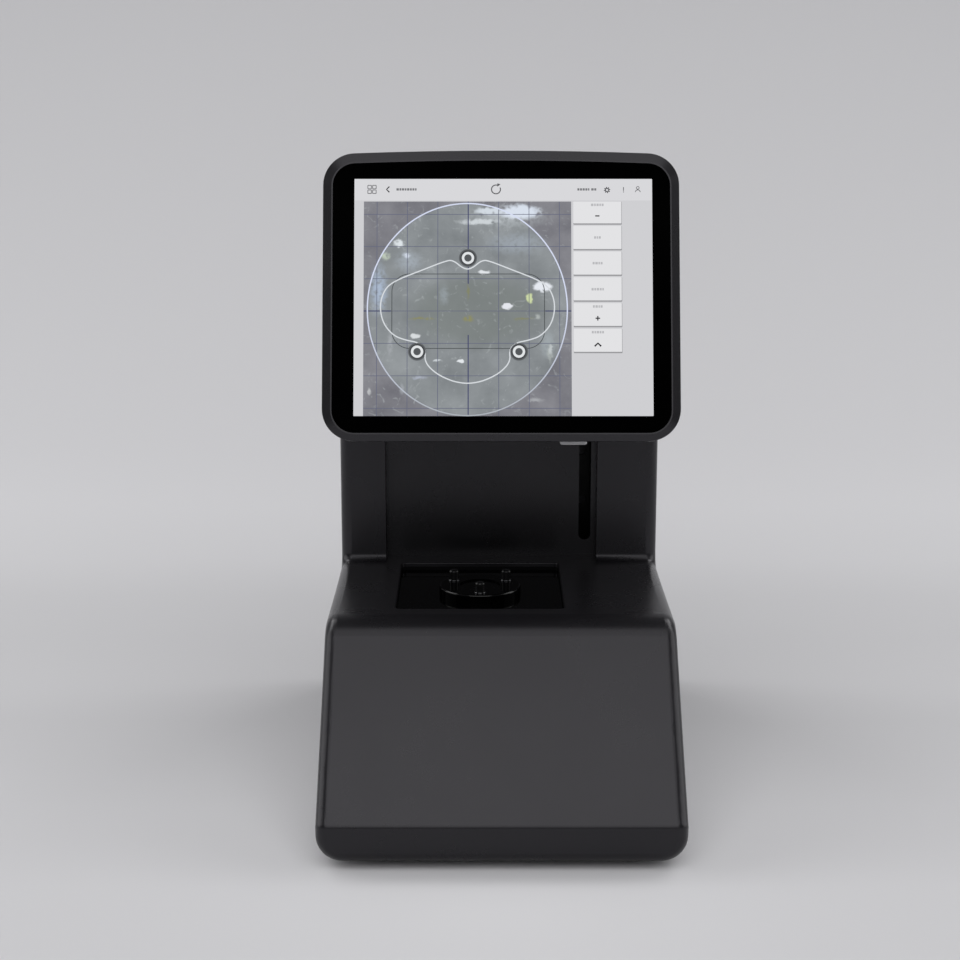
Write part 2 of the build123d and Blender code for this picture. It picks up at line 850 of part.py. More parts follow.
def shaft_coupling():
    body = rod(screw_x, screw_y, coupling_bottom, coupling_top, coupling_radius)
    body -= rod(screw_x, screw_y, coupling_bottom - 1, screw_bottom, motor_shaft_radius)
    body -= rod(screw_x, screw_y, screw_bottom, coupling_top + 1, lead_screw_radius)
    half = coupling_slit / 2
    return body - block(screw_x, screw_x + coupling_radius + 1, screw_y - half, screw_y + half,
                        coupling_bottom - 1, coupling_top + 1)


def lead_screw():
    return rod(screw_x, screw_y, screw_bottom, upper_shelf_top + screw_over, lead_screw_radius)


def screw_bush():
    body = rod(screw_x, screw_y, bush_flange_bottom, bush_flange_top, bush_flange_radius)
    body += rod(screw_x, screw_y, bush_flange_top, upper_shelf_top, bush_radius)
    return body - rod(screw_x, screw_y, bush_flange_bottom - 1, frame_top, lead_screw_radius + running_fit)


# The swinging arm with its sprung chuck
def swing_motor():
    bottom = cup_bottom + cup_floor
    body = rod(pivot_x, pivot_y, bottom, bottom + swing_motor_height, swing_motor_radius)
    bore = motor_shaft_radius + running_fit
    return body - rod(pivot_x, pivot_y, bottom - 1, bottom + swing_shaft_grip, bore)


def swing_shaft():
    top = cup_bottom + cup_floor + swing_shaft_grip
    return rod(pivot_x, pivot_y, arm_bottom + shaft_floor, top, motor_shaft_radius)


def chuck_arm():
    top = arm_bottom + arm_thickness
    length = arm_radius
    bar = Pos(length / 2, 0, arm_bottom) * extrude(Rectangle(length, arm_waist), amount=arm_thickness)
    bar += rod(0, 0, arm_bottom, top, arm_end_radius) + rod(length, 0, arm_bottom, top, arm_end_radius)
    bar += rod(length, 0, arm_bottom, arm_bottom + barrel_height, arm_end_radius)
    bar -= rod(length, 0, arm_bottom - 1, arm_bottom + lip_thickness + 1, stem_radius + running_fit)
    bar -= rod(length, 0, arm_bottom + lip_thickness, arm_bottom + barrel_height + 1, barrel_radius)
    bar -= rod(0, 0, arm_bottom + shaft_floor, top + 1, motor_shaft_radius)
    return Pos(pivot_x, pivot_y, 0) * Rot(0, 0, arm_angle) * bar


def barrel_lid():
    bottom = arm_bottom + barrel_height
    lid = rod(chuck_x, chuck_y, bottom, bottom + barrel_cap, arm_end_radius)
    return fillet(lid.edges().group_by(Axis.Z)[-1], barrel_cap_soft)


def chuck_spring():
    length = arm_bottom + barrel_height - clip_top - spring_wire
    pitch = length / spring_turns
    path = Helix(pitch, length, spring_radius)
    coil = sweep(Plane(path @ 0, z_dir=path % 0) * Circle(spring_wire / 2), path=path, is_frenet=True)
    return Pos(chuck_x, chuck_y, clip_top + spring_wire / 2) * coil


def block_chuck():
    skirt = slab(chuck_x, chuck_y, chuck_size, chuck_size, chuck_bottom, chuck_bottom + chuck_skirt,
                 chuck_corner)
    skirt = fillet(skirt.edges().group_by(Axis.Z)[0], chuck_soft)
    body = skirt + rod(chuck_x, chuck_y, chuck_bottom + chuck_skirt, clip_top, stem_radius)
    body -= rod(chuck_x, chuck_y, chuck_bottom - 1, chuck_bottom + socket_depth_up, socket_radius)
    # The key lies along X once the arm has swung over the stage
    key = Box(2 * key_half_length, key_width, 2 * key_depth)
    return body - Pos(chuck_x, chuck_y, chuck_bottom) * Rot(0, 0, arm_swing_angle) * key


def stem_clip():
    bottom = arm_bottom + lip_thickness
    return tube(chuck_x, chuck_y, bottom, bottom + clip_thickness, clip_radius, stem_radius)


# The monitor, made flat with its screen up, then laid into its leaning plane
monitor_plane = Plane(origin=(0, monitor_low_y, monitor_low_z), x_dir=(1, 0, 0),
                      z_dir=(0, -cos(radians(lean)), sin(radians(lean))))


def leaning(shape):
    return monitor_plane.location * shape


def arched_face(width, low, high, arch, corner, shift):
    left, right = shift - width / 2, shift + width / 2
    top = ThreePointArc((left, high - arch), (shift, high), (right, high - arch))
    sides = Polyline((left, high - arch), (left, low), (right, low), (right, high - arch))
    face = make_face([top, sides])
    return fillet(face.vertices(), corner)


def arched_slab(width, low, high, arch, corner, shift, n0, n1):
    return Pos(0, 0, n0) * extrude(arched_face(width, low, high, arch, corner, shift), amount=n1 - n0)


def glass_face(grow):
    arch = monitor_rise * glass_width / monitor_width
    return arched_face(glass_width + 2 * grow, glass_low - grow, glass_high + grow, arch,
                       glass_corner + grow, glass_shift)


def glass_slab(grow, n0, n1):
    return Pos(0, 0, n0) * extrude(glass_face(grow), amount=n1 - n0)


def frame_face(inset):
    return arched_face(monitor_width - 2 * inset, inset - frame_drop, monitor_height - inset, monitor_rise,
                       monitor_corner - inset, 0)


def monitor_frame():
    # The sides taper a little towards the back
    back = Pos(0, 0, -frame_depth) * frame_face(frame_taper)
    outline = Pos(0, 0, -bevel_depth) * frame_face(0)
    body = loft([back, outline], ruled=True)
    # The front is bevelled all round, from the outline to a narrow lip round the glass
    body += loft([outline, glass_face(bevel_lip)], ruled=True)
    seat = -glass_sink - glass_thickness
    body -= glass_slab(free_fit, seat, 1)
    body -= glass_slab(-glass_seat, -frame_depth - 1, 1)
    return leaning(body)


def monitor_glass():
    pane = glass_slab(0, -glass_sink - glass_thickness, -glass_sink)
    return leaning(fillet(pane.edges().group_by(Axis.Z)[-1], glass_soft))


def display_panel():
    top = -glass_sink - glass_thickness
    body = block(lcd_shift - lcd_width / 2, lcd_shift + lcd_width / 2, lcd_low, lcd_high,
                 top - lcd_thickness, top)
    return leaning(body)


def display_board():
    lcd_back = -glass_sink - glass_thickness - lcd_thickness
    top = lcd_back - display_standoff
    middle = (lcd_low + lcd_high) / 2
    body = slab(0, middle, display_board_width, display_board_length, top - board, top, display_board_corner)
    aside = display_board_width / 2 - display_standoff_inset
    along = display_board_length / 2 - display_standoff_inset
    for i in (-1, 1):
        for j in (-1, 1):
            body += rod(i * aside, middle + j * along, top, lcd_back, display_standoff_radius)
    back = top - board
    body += slab(-display_standoff_inset, middle, display_chip, display_chip,
                 back - display_chip_height, back, 0)
    body += slab(display_standoff_inset + display_chip, middle, display_plug_width, display_plug_length,
                 back - display_plug_height, back, 0)
    return leaning(body)


def mount_places():
    half = mount_pitch / 2
    middle = monitor_height / 2
    return [(i * half, middle + j * half) for i in (-1, 1) for j in (-1, 1)]


def monitor_back():
    body = arched_slab(monitor_width - 2 * back_inset, back_inset, monitor_height - back_inset, monitor_rise,
                       monitor_corner - back_inset, 0, back_n, -frame_depth)
    body = fillet(body.edges().group_by(Axis.Z)[0], back_soft)
    grow = back_inset + back_wall
    body -= arched_slab(monitor_width - 2 * grow, grow, monitor_height - grow, monitor_rise,
                        monitor_corner - grow, 0, back_n + back_wall, -frame_depth + 1)
    for i in range(back_vent_count):
        x = vent_pitch * (i - (back_vent_count - 1) / 2)
        body -= slab(x, monitor_height - back_vent_drop, back_vent_width, back_vent_length,
                     back_n - 1, back_n + back_wall + 1, back_vent_corner)
    for x, s in mount_places():
        body -= rod(x, s, back_n - 1, back_n + back_wall + 1, mount_screw_radius + screw_fit)
    return leaning(body)


def monitor_mount():
    middle = monitor_height / 2
    hole = mount_size - 2 * mount_rim
    body = slab(0, middle, mount_size, mount_size, mount_n, back_n, mount_corner)
    body -= slab(0, middle, hole, hole, mount_n - 1, back_n + 1, mount_rim_corner)
    for x, s in mount_places():
        body -= rod(x, s, mount_n - 1, back_n + 1, mount_screw_radius + free_fit)
    return leaning(body)


def mount_screws():
    head_inside = mount_n - head_wall
    screws = []
    for x, s in mount_places():
        head = rod(x, s, head_inside - mount_screw_head, head_inside, mount_screw_head_radius)
        screws.append(head + rod(x, s, head_inside, back_n + back_wall + mount_screw_end, mount_screw_radius))
    return leaning(together(screws))


# The head: a floor plate, a hood over it, and the camera that looks down at the stage
def head_front(z):
    """Y of the head's leaning front face at height z: the face that the monitor's mount sits on."""
    tilt = radians(lean)
    along = (z - monitor_low_z - mount_n * sin(tilt)) / cos(tilt)
    return monitor_low_y - mount_n * cos(tilt) + along * sin(tilt)


def head_block(inset, bottom):
    points = [(head_front(bottom), bottom), (head_front(head_top), head_top),
              (back_y, head_top), (back_y, bottom)]
    face = make_face(Polyline(*points, close=True))
    for point, radius in ((points[1], head_front_soft), (points[2], head_rear_soft)):
        face = fillet(face.vertices().sort_by_distance(Vector(*point, 0))[0], radius)
    if inset:
        face = offset(face, amount=-inset, kind=Kind.INTERSECTION)
    body = extrude(Plane.YZ * face, amount=waist_width / 2 - inset, both=True)

    def on_rim(edge):
        beside = all(abs(abs((edge @ t).X) - waist_width / 2 + inset) < 0.01 for t in (0.1, 0.5, 0.9))
        return beside and (edge @ 0.5).Z > bottom + inset + 0.1

    return fillet([e for e in body.edges() if on_rim(e)], head_edge - inset)


def head_cover():
    shell = head_block(0.0, split_height) - head_block(head_wall, split_height - 20)
    inside = mount_n - 2 * head_wall
    for x, s in mount_places():
        shell -= leaning(rod(x, s, inside, mount_n + 1, mount_screw_radius + free_fit))
    way = mount_size - 2 * (mount_rim + cable_way_inset)
    shell -= leaning(slab(0, monitor_height / 2, way, way, inside, mount_n + 1, cable_way_corner))
    for x, z in vent_places(head_vent_low, head_vent_rows):
        shell -= upright_slab(x, z, vent_length, vent_width, back_y - head_wall - 1, back_y + 1, vent_corner)
    return shell


def head_floor():
    top = split_height + floor_thickness
    front = head_front(top) + head_wall + floor_front_gap
    half = waist_width / 2 - head_wall - part_gap
    body = block(-half, half, front, back_y - head_wall - part_gap, split_height, top)
    body = fillet(body.edges().filter_by(Axis.Z), head_edge - head_wall)
    cut_front = panel_y + 2 * floor_cut_margin
    cut_back = rail_back_y + frame_foot_reach
    body -= slab((frame_left + frame_right) / 2, (cut_front + cut_back) / 2,
                 frame_right - frame_left + 2 * floor_cut_margin, cut_back - cut_front,
                 split_height - 1, top + 1, floor_cut_margin)
    return body - rod(stage_x, stage_y, split_height - 1, top + 1, camera_hole_radius)


def camera_window():
    bottom = split_height + floor_thickness
    return rod(stage_x, stage_y, bottom, bottom + camera_window_thickness, camera_window_radius)


def ring_light():
    bottom = split_height + floor_thickness + camera_window_thickness
    return tube(stage_x, stage_y, bottom, bottom + ring_thickness, camera_hole_radius - ring_margin,
                lens_radius + ring_lens_gap)


def camera_lens():
    low = split_height + floor_thickness + lens_low
    body = rod(stage_x, stage_y, low, low + lens_hood, lens_radius)
    body += rod(stage_x, stage_y, low + lens_hood, camera_bottom, lens_neck_radius)
    return body - rod(stage_x, stage_y, low - 1, low + lens_recess, lens_recess_radius)


def camera_body():
    return slab(stage_x, stage_y, camera_size, camera_size, camera_bottom, camera_bottom + camera_height,
                camera_corner)


def camera_bracket():
    half, back = camera_size / 2 + bracket_margin, stage_y + camera_window_radius + bracket_margin
    low, top = split_height + floor_thickness, camera_bottom + camera_height
    x0, x1 = stage_x - half, stage_x + half
    body = block(x0, x1, back, back + wall, low, top + wall)
    body += block(x0, x1, stage_y - camera_size / 2, back, top, top + wall)
    return body + block(x0, x1, back + wall, back + wall + bracket_foot, low, low + wall)


# Back panel fittings
def power_inlet():
    face_y = inlet_face_y
    body = upright_slab(inlet_x, inlet_z, inlet_width, inlet_height, panel_back_y, face_y, inlet_corner)
    body += block(inlet_x - inlet_body_width / 2, inlet_x + inlet_body_width / 2,
                  panel_front_y - inlet_body_depth, panel_back_y,
                  inlet_z - inlet_body_height / 2, inlet_z + inlet_body_height / 2)
    socket = upright_slab(inlet_x, socket_z, socket_width, socket_height, face_y - socket_depth, face_y + 1,
                          socket_corner)
    core = block(inlet_x - core_half_width, inlet_x + core_half_width,
                 face_y - socket_depth, face_y - core_sink,
                 socket_z - core_half_height, socket_z + core_half_height)
    for x, z in blade_places:
        core -= block(x - pin_slot_half_width, x + pin_slot_half_width, face_y - socket_depth - 1, face_y,
                      z - pin_slot_half_height, z + pin_slot_half_height)
    body = body - socket + core
    body -= block(inlet_x - drawer_width / 2 - part_gap, inlet_x + drawer_width / 2 + part_gap,
                  face_y - drawer_depth - part_gap, face_y + 1,
                  drawer_z - drawer_height / 2 - part_gap, drawer_z + drawer_height / 2 + part_gap)
    half = rocker_width / 2 + part_gap
    body -= block(inlet_x - half, inlet_x + half, rocker_y - rocker_well, face_y + 1,
                  rocker_z - rocker_radius - part_gap, rocker_z + rocker_radius + part_gap)
    half += rocker_pin + free_fit
    return body - rod_x(rocker_y, rocker_z, inlet_x - half, inlet_x + half, rocker_pin_radius + running_fit)


def inlet_pins():
    return together([block(x - blade_half_width, x + blade_half_width, inlet_face_y - socket_depth,
                           inlet_face_y - blade_sink, z - blade_half_height, z + blade_half_height)
                     for x, z in blade_places])


def power_rocker():
    half = rocker_width / 2
    body = rod_x(0, 0, -half, half, rocker_radius)
    rise = rocker_radius * tan(radians(rocker_tilt))
    edge = rocker_radius + 1
    outline = Polyline((-rocker_back, -edge), (rocker_front + rise, -edge), (rocker_front, 0),
                       (rocker_front + rise, edge), (-rocker_back, edge), close=True)
    body = body & extrude(Plane.YZ * make_face(outline), amount=half, both=True)
    body += rod_x(0, 0, -half - rocker_pin, half + rocker_pin, rocker_pin_radius)
    return Pos(inlet_x, rocker_y, rocker_z) * Rot(rocker_tilt, 0, 0) * body


def fuse_drawer():
    face_y = inlet_face_y
    body = block(inlet_x - drawer_width / 2, inlet_x + drawer_width / 2,
                 face_y - drawer_depth, face_y - drawer_sink,
                 drawer_z - drawer_height / 2, drawer_z + drawer_height / 2)
    body -= block(inlet_x - grip_half_width, inlet_x + grip_half_width, face_y - grip_depth, face_y + 1,
                  drawer_z - drawer_height, drawer_z - grip_depth / 2)
    half = fuse_half_length + 2 * fuse_fit
    return body - rod_x(fuse_y, fuse_z, inlet_x - half, inlet_x + half, fuse_radius + fuse_fit)


def fuse():
    return rod_x(fuse_y, fuse_z, inlet_x - fuse_half_length, inlet_x + fuse_half_length, fuse_radius)


def io_places():
    """Centre, width and height of each port."""
    data = [(x, data_port_width, data_port_height) for x in data_port_x]
    return [(network_x, network_width, network_height)] + data


def port_plate_edges(grow):
    """Left, right, bottom and top of the port plate's core, each moved outwards by grow."""
    left = network_x - network_width / 2 - port_plate_margin
    right = data_port_x[-1] + data_port_width / 2 + port_plate_margin
    top = port_bottom + network_height + port_plate_margin
    return left - grow, right + grow, port_bottom - port_plate_margin - grow, top + grow


def port_plate():
    left, right, bottom, top = port_plate_edges(0)
    body = block(left, right, panel_front_y, panel_back_y, bottom, top)
    left, right, bottom, top = port_plate_edges(port_plate_lap)
    outside = panel_back_y + port_plate_flange
    body += block(left, right, panel_back_y, outside, bottom, top)
    for x, width, height in io_places():
        body -= block(x - width / 2 - part_gap, x + width / 2 + part_gap, panel_front_y - 1, outside + 1,
                      port_bottom - part_gap, port_bottom + height + part_gap)
    return body


def io_ports():
    shells = []
    for x, width, height in io_places():
        shell = block(x - width / 2, x + width / 2, panel_front_y - port_depth, panel_back_y + port_proud,
                      port_bottom, port_bottom + height)
        half = width / 2 - port_wall
        hollow = block(x - half, x + half, panel_front_y - port_hollow, panel_back_y + port_proud + 1,
                       port_bottom + port_wall, port_bottom + height - port_wall)
        shells.append(shell - hollow)
    return together(shells)


def io_board():
    low, back = port_bottom - board, panel_front_y - io_board_gap
    body = block(-io_board_left, io_board_right, back - io_board_depth, back, low, port_bottom)
    for x in (io_post_inset - io_board_left, io_board_right - io_post_inset):
        for y in (panel_front_y - io_post_ahead, panel_front_y - io_post_behind):
            body += rod(x, y, pan_top, low, standoff_radius)
    return body


def fan_frame():
    front = fan_front_y
    body = upright_slab(fan_x, fan_z, fan_size, fan_size, front, panel_front_y, fan_corner)
    body -= rod_y(fan_x, fan_z, front - 1, panel_front_y + 1, fan_radius + fan_gap)
    body += rod_y(fan_x, fan_z, front, front + fan_hub_plate, fan_hub_radius)
    length = fan_size / 2 - fan_arm_short
    middle = Pos((fan_size / 2 - 1) / 2 + fan_arm_start, 0, 0)
    arm = middle * Box(length, fan_hub_plate, fan_arm_width)
    for angle in (45, 135, 225, 315):
        body += Pos(fan_x, front + fan_hub_plate / 2, fan_z) * Rot(0, angle, 0) * arm
    spindle_front = front + fan_hub_plate
    return body + rod_y(fan_x, fan_z, spindle_front, spindle_front + fan_spindle, fan_spindle_radius)


def fan_rotor():
    front = fan_front_y + fan_hub_plate + part_gap
    back = panel_front_y - fan_back_gap
    body = rod_y(fan_x, fan_z, front, back, fan_hub_radius)
    for i in range(fan_blades):
        blade = Box(fan_radius - fan_hub_radius + 2, back - front - 1, fan_blade_thickness)
        blade = Rot(fan_blade_pitch, 0, 0) * blade & Box(fan_size, back - front - 1, fan_size)
        place = Pos(fan_x, (front + back) / 2, fan_z) * Rot(0, 360 / fan_blades * i, 0)
        body += place * Pos((fan_radius + fan_hub_radius) / 2 - 1, 0, 0) * blade
    return body - rod_y(fan_x, fan_z, front - 1, front + fan_spindle_bore, fan_spindle_radius + running_fit)


def board_on_pan(x0, x1, y0, y1, post_inset):
    """A circuit board on four posts, and a function that fits blocks on it by shares of its size."""
    low = pan_top + standoff
    body = block(x0, x1, y0, y1, low, low + board)
    for x in (x0 + post_inset, x1 - post_inset):
        for y in (y0 + post_inset, y1 - post_inset):
            body += rod(x, y, pan_top, low, standoff_radius)

    def fitted(u0, u1, v0, v1, height):
        width, length = x1 - x0, y1 - y0
        return block(x0 + u0 * width, x0 + u1 * width, y0 + v0 * length, y0 + v1 * length,
                     low + board, low + board + height)

    return body, fitted


def power_supply():
    x0, y1 = -pan_half_width, back_y - supply_behind
    x1, y0, top = x0 + supply_width, y1 - supply_length, pan_top + standoff + board
    body, fitted = board_on_pan(x0, x1, y0, y1, supply_post_inset)
    body += fitted(0.23, 0.60, 0.21, 0.65, transformer_height)
    body += fitted(0.67, 0.72, 0.08, 0.90, heat_sink_height)
    for share in (0.16, 0.43, 0.70):
        body += rod(x0 + 0.84 * supply_width, y0 + share * supply_length, top, top + capacitor_height,
                    capacitor_radius)
    return body + fitted(0.07, 0.16, 0.73, 0.95, terminal_height)


def main_board():
    x0, y0 = -main_board_half, front_y + main_board_ahead
    y1, top = y0 + main_board_length, pan_top + standoff + board
    body, fitted = board_on_pan(x0, main_board_half, y0, y1, main_post_inset)
    body += fitted(0.36, 0.64, 0.29, 0.78, main_chip_height)
    body += fitted(0.74, 0.93, 0.61, 0.71, main_plug_height)
    body += fitted(0.08, 0.26, 0.24, 0.41, main_memory_height)
    for share in (0.10, 0.17, 0.24):
        body += rod(x0 + share * 2 * main_board_half, y0 + 0.71 * main_board_length, top,
                    top + small_capacitor_height, small_capacitor_radius)
    return body


housing = dict(main_cover=main_cover, base_pan=base_pan, column_panel=column_panel, rear_panel=rear_panel,
               feet=feet, foot_screws=foot_screws, pan_screws=pan_screws, rear_screws=rear_screws)
stage = dict(stage_frame=stage_frame, stage_window=stage_window, light_diffuser=light_diffuser,
             stage_light_board=stage_light_board, stage_posts=stage_posts, lens_rest=lens_rest,
             rest_pins=rest_pins, pin_tips=pin_tips)
lift = dict(lift_frame=lift_frame, guide_rail=guide_rail, rail_screws=rail_screws,
            rail_carriage=rail_carriage, lift_bracket=lift_bracket, screw_nut=screw_nut,
            lift_motor=lift_motor, motor_shaft=motor_shaft, shaft_coupling=shaft_coupling,
            lead_screw=lead_screw, screw_bush=screw_bush)
arm = dict(swing_motor=swing_motor, swing_shaft=swing_shaft, chuck_arm=chuck_arm, barrel_lid=barrel_lid,
           chuck_spring=chuck_spring, block_chuck=block_chuck, stem_clip=stem_clip)
monitor = dict(monitor_frame=monitor_frame, monitor_glass=monitor_glass, display_panel=display_panel,
               display_board=display_board, monitor_back=monitor_back, monitor_mount=monitor_mount,
               mount_screws=mount_screws)
head = dict(head_cover=head_cover, head_floor=head_floor, camera_window=camera_window, ring_light=ring_light,
            camera_lens=camera_lens, camera_body=camera_body, camera_bracket=camera_bracket)
fittings = dict(power_inlet=power_inlet, inlet_pins=inlet_pins, power_rocker=power_rocker,
                fuse_drawer=fuse_drawer, fuse=fuse, port_plate=port_plate, io_ports=io_ports,
                io_board=io_board, fan_frame=fan_frame, fan_rotor=fan_rotor, power_supply=power_supply,
                main_board=main_board)
for section in (housing, stage, lift, arm, monitor, head, fittings):
    for name, make in section.items():
        parts[name] = make()

os.makedirs("parts", exist_ok=True)
for name, shape in parts.items():
    export_step(shape, f"parts/{name}.step")
print(len(parts), "nodes")
print("pivot", round(pivot_x, 2), round(pivot_y, 2), "chuck", round(chuck_x, 2), round(chuck_y, 2),
      "arm", round(arm_radius, 2), "at", round(arm_angle, 2))
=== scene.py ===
# %% [markdown]
# # A desk-top lens blocker, dressed for the camera
#
# The imported model arrives as a fixed frame: every housing panel, screw and shaft is already a mesh in its
# true place, in metres. This script gives each of them a finish, adds the thin things that belong to the
# screen and a coil spring, and sets up a plain studio. Nothing of the frame is moved.

# %% Load the imported frame
import json
from math import cos, pi, radians, sin

import bpy
import numpy as np
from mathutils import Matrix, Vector


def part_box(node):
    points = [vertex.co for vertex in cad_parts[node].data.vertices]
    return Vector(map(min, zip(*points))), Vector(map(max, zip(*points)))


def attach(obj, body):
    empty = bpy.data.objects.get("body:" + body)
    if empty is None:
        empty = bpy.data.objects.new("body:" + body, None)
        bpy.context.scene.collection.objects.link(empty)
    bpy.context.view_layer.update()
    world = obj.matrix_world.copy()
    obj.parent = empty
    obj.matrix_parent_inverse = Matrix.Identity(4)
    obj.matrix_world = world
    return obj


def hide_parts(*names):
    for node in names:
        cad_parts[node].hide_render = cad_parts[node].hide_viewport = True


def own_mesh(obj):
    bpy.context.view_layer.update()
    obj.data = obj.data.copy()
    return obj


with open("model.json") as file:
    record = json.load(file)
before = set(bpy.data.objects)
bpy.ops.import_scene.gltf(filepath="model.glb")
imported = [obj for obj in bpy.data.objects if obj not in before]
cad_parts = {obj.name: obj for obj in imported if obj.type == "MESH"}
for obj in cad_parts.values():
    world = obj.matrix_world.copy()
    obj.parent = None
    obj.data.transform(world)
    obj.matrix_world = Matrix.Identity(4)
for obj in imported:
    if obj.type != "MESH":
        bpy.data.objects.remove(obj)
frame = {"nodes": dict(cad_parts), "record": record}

nodes = frame["nodes"]
record = frame["record"]
metre = 1000.0  # in millimetres
scene = bpy.context.scene
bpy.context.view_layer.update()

# %% [markdown]
# ## The camera
#
# The picture was taken with a long lens from the front and a little above, so the upright edges
# stay almost parallel. A 75 mm lens on a 36 mm wide sensor, tipped 12.8 degrees down, gives the
# same perspective. The stage is off the unit's middle, and the camera stands in line with it.

# %% Camera
stage_x = -0.0138
camera_distance = 1.367
camera_height = 0.5202
camera_tip = 12.8

camera_data = bpy.data.cameras.new("camera")
camera_data.lens = 75.0
camera_data.sensor_width = 36.0
camera_data.clip_end = 50.0
camera = bpy.data.objects.new("camera", camera_data)
camera.location = (stage_x, -camera_distance, camera_height)
camera.rotation_euler = (radians(90.0 - camera_tip), 0.0, 0.0)
scene.collection.objects.link(camera)
scene.camera = camera
print("camera at", camera.location)

# %% [markdown]
# ## Surfaces from arrays
#
# Every new piece is worked out as whole numpy arrays. Four shapes are enough here: a sheet, which
# is a grid of points, a plate, which is an outline carried from one level to another and closed at
# both ends, a ring, which is a plate with a hole of as many points, and a coil of wire.
# Several plates can share one mesh, so that a row of buttons is one piece.

# %% Mesh helpers
def mesh_object(name, points, faces, smooth=False):
    """A mesh object at the origin from an array of points and a list of faces."""
    mesh = bpy.data.meshes.new(name)
    mesh.from_pydata(np.asarray(points, float).reshape(-1, 3).tolist(), [], faces)
    mesh.validate()
    if smooth:
        mesh.polygons.foreach_set("use_smooth", [True] * len(mesh.polygons))
    thing = bpy.data.objects.new(name, mesh)
    scene.collection.objects.link(thing)
    return thing


def grid_faces(rows, columns):
    """Quads between the points of a grid that is stored row by row."""
    corner = np.arange(rows - 1)[:, None] * columns + np.arange(columns - 1)[None, :]
    quads = np.stack([corner, corner + 1, corner + columns + 1, corner + columns], axis=-1)
    return quads.reshape(-1, 4).tolist()


def band(first, second):
    """Quads between two closed loops of point numbers, from each point to the next one."""
    quads = np.stack([first, np.roll(first, -1), np.roll(second, -1), second], axis=-1)
    return quads.tolist()


# %% [markdown]
# ## The floor and the backdrop
#
# A studio sweep is one sheet of paper: flat under the object, then curving up behind it. Its profile is a
# straight run, a quarter circle and a straight rise, carried sideways. The paper is nearly even, but its
# colour is graded along its length, and that grading is painted light and shade: lighter around the unit's
# front and where the floor turns up, and darker in a band beside and behind the unit that stands in for its
# spread shadow. Only the camera, reflections and clear things see it. The light that the paper throws back on
# the object comes from a plain mid tone.

# %% Studio sweep
sweep_front = -2.6
sweep_turn = 1.1
sweep_radius = 1.2
sweep_top = 3.4
sweep_half_width = 4.0
paper_length = 3.0
rows_along, rows_across = 193, 9


def sweep_profile(t):
    """Points (y, z) along the paper: floor for t below 1, the quarter circle up to 2, then the rise."""
    floor = np.clip(t, 0, 1)
    turn = np.clip(t - 1, 0, 1) * pi / 2
    rise = np.clip(t - 2, 0, 1)
    y = sweep_front + floor * (sweep_turn - sweep_front) + sweep_radius * np.sin(turn)
    z = sweep_radius * (1 - np.cos(turn)) + rise * (sweep_top - sweep_radius)
    return y, z


steps = np.linspace(0, paper_length, rows_along)
across = np.linspace(-sweep_half_width, sweep_half_width, rows_across)
sweep_y, sweep_z = sweep_profile(steps)
sweep_points = np.stack(np.broadcast_arrays(across[None, :], sweep_y[:, None], sweep_z[:, None]), axis=-1)
sweep = mesh_object("studio_sweep", sweep_points, grid_faces(rows_along, rows_across), smooth=True)
along_paper = sweep.data.attributes.new("along_paper", "FLOAT", "POINT")
along_paper.data.foreach_set("value", np.repeat(steps, rows_across))
print("paper sweep", len(sweep.data.polygons), "faces")

# %% [markdown]
# ## Building materials in code
#
# Small helpers wire the nodes. They add a node with its inputs, do one step of arithmetic, start a
# material with its main shader, or start a shared effect, which is a node group with named inputs
# and outputs. A shared effect only puts out values and masks. The shader itself stays in each
# material.

# %% Node helpers
def fill(tree, node, inputs):
    """Gives each input of a node, by its name or number, a value or a link from a socket."""
    for key, value in inputs.items():
        if isinstance(value, bpy.types.NodeSocket):
            tree.links.new(value, node.inputs[key])
        else:
            node.inputs[key].default_value = value
    return node


def add(tree, kind, inputs=None, **settings):
    """A shader node with its settings and inputs."""
    node = tree.nodes.new("ShaderNode" + kind)
    for key, value in settings.items():
        setattr(node, key, value)
    return fill(tree, node, inputs or {})


def maths(tree, operation, first, second=0.0, third=0.0):
    """The result socket of one step of arithmetic."""
    return add(tree, "Math", {0: first, 1: second, 2: third}, operation=operation).outputs[0]


def vectors(tree, operation, first, second=None):
    """The result socket of one step of vector arithmetic. To scale, the second value is a number."""
    inputs = {0: first}
    if second is not None:
        inputs["Scale" if operation == "SCALE" else 1] = second
    result = "Value" if operation in ("DOT_PRODUCT", "LENGTH") else "Vector"
    return add(tree, "VectorMath", inputs, operation=operation).outputs[result]


def noise(tree, where, scale, detail, roughness=0.5):
    """The value of a cloud noise."""
    return add(tree, "TexNoise", {"Vector": where, "Scale": scale, "Detail": detail,
                                  "Roughness": roughness}).outputs["Fac"]


def remap(tree, value, low, high, first=0.0, last=1.0, **settings):
    """A value between low and high turned into one between first and last, and held at its ends."""
    inputs = {"Value": value, "From Min": low, "From Max": high, "To Min": first, "To Max": last}
    return add(tree, "MapRange", inputs, **settings).outputs["Result"]


def blend(tree, share, first, second):
    """A colour that goes from the first to the second as share goes from 0 to 1."""
    node = add(tree, "Mix", {"Factor": share, "A": first, "B": second}, data_type="RGBA")
    return node.outputs["Result"]


def start_material(name, colour=(0.0, 0.0, 0.0), roughness=0.5, metallic=0.0, specular=0.5):
    """A new material, its node tree and its main shader, which gets what is the same all over."""
    material = bpy.data.materials.new(name)
    material.use_nodes = True
    shader = material.node_tree.nodes["Principled BSDF"]
    fill(material.node_tree, shader, {"Base Color": (*colour, 1), "Roughness": roughness,
                                      "Metallic": metallic, "Specular IOR Level": specular})
    return material, material.node_tree, shader


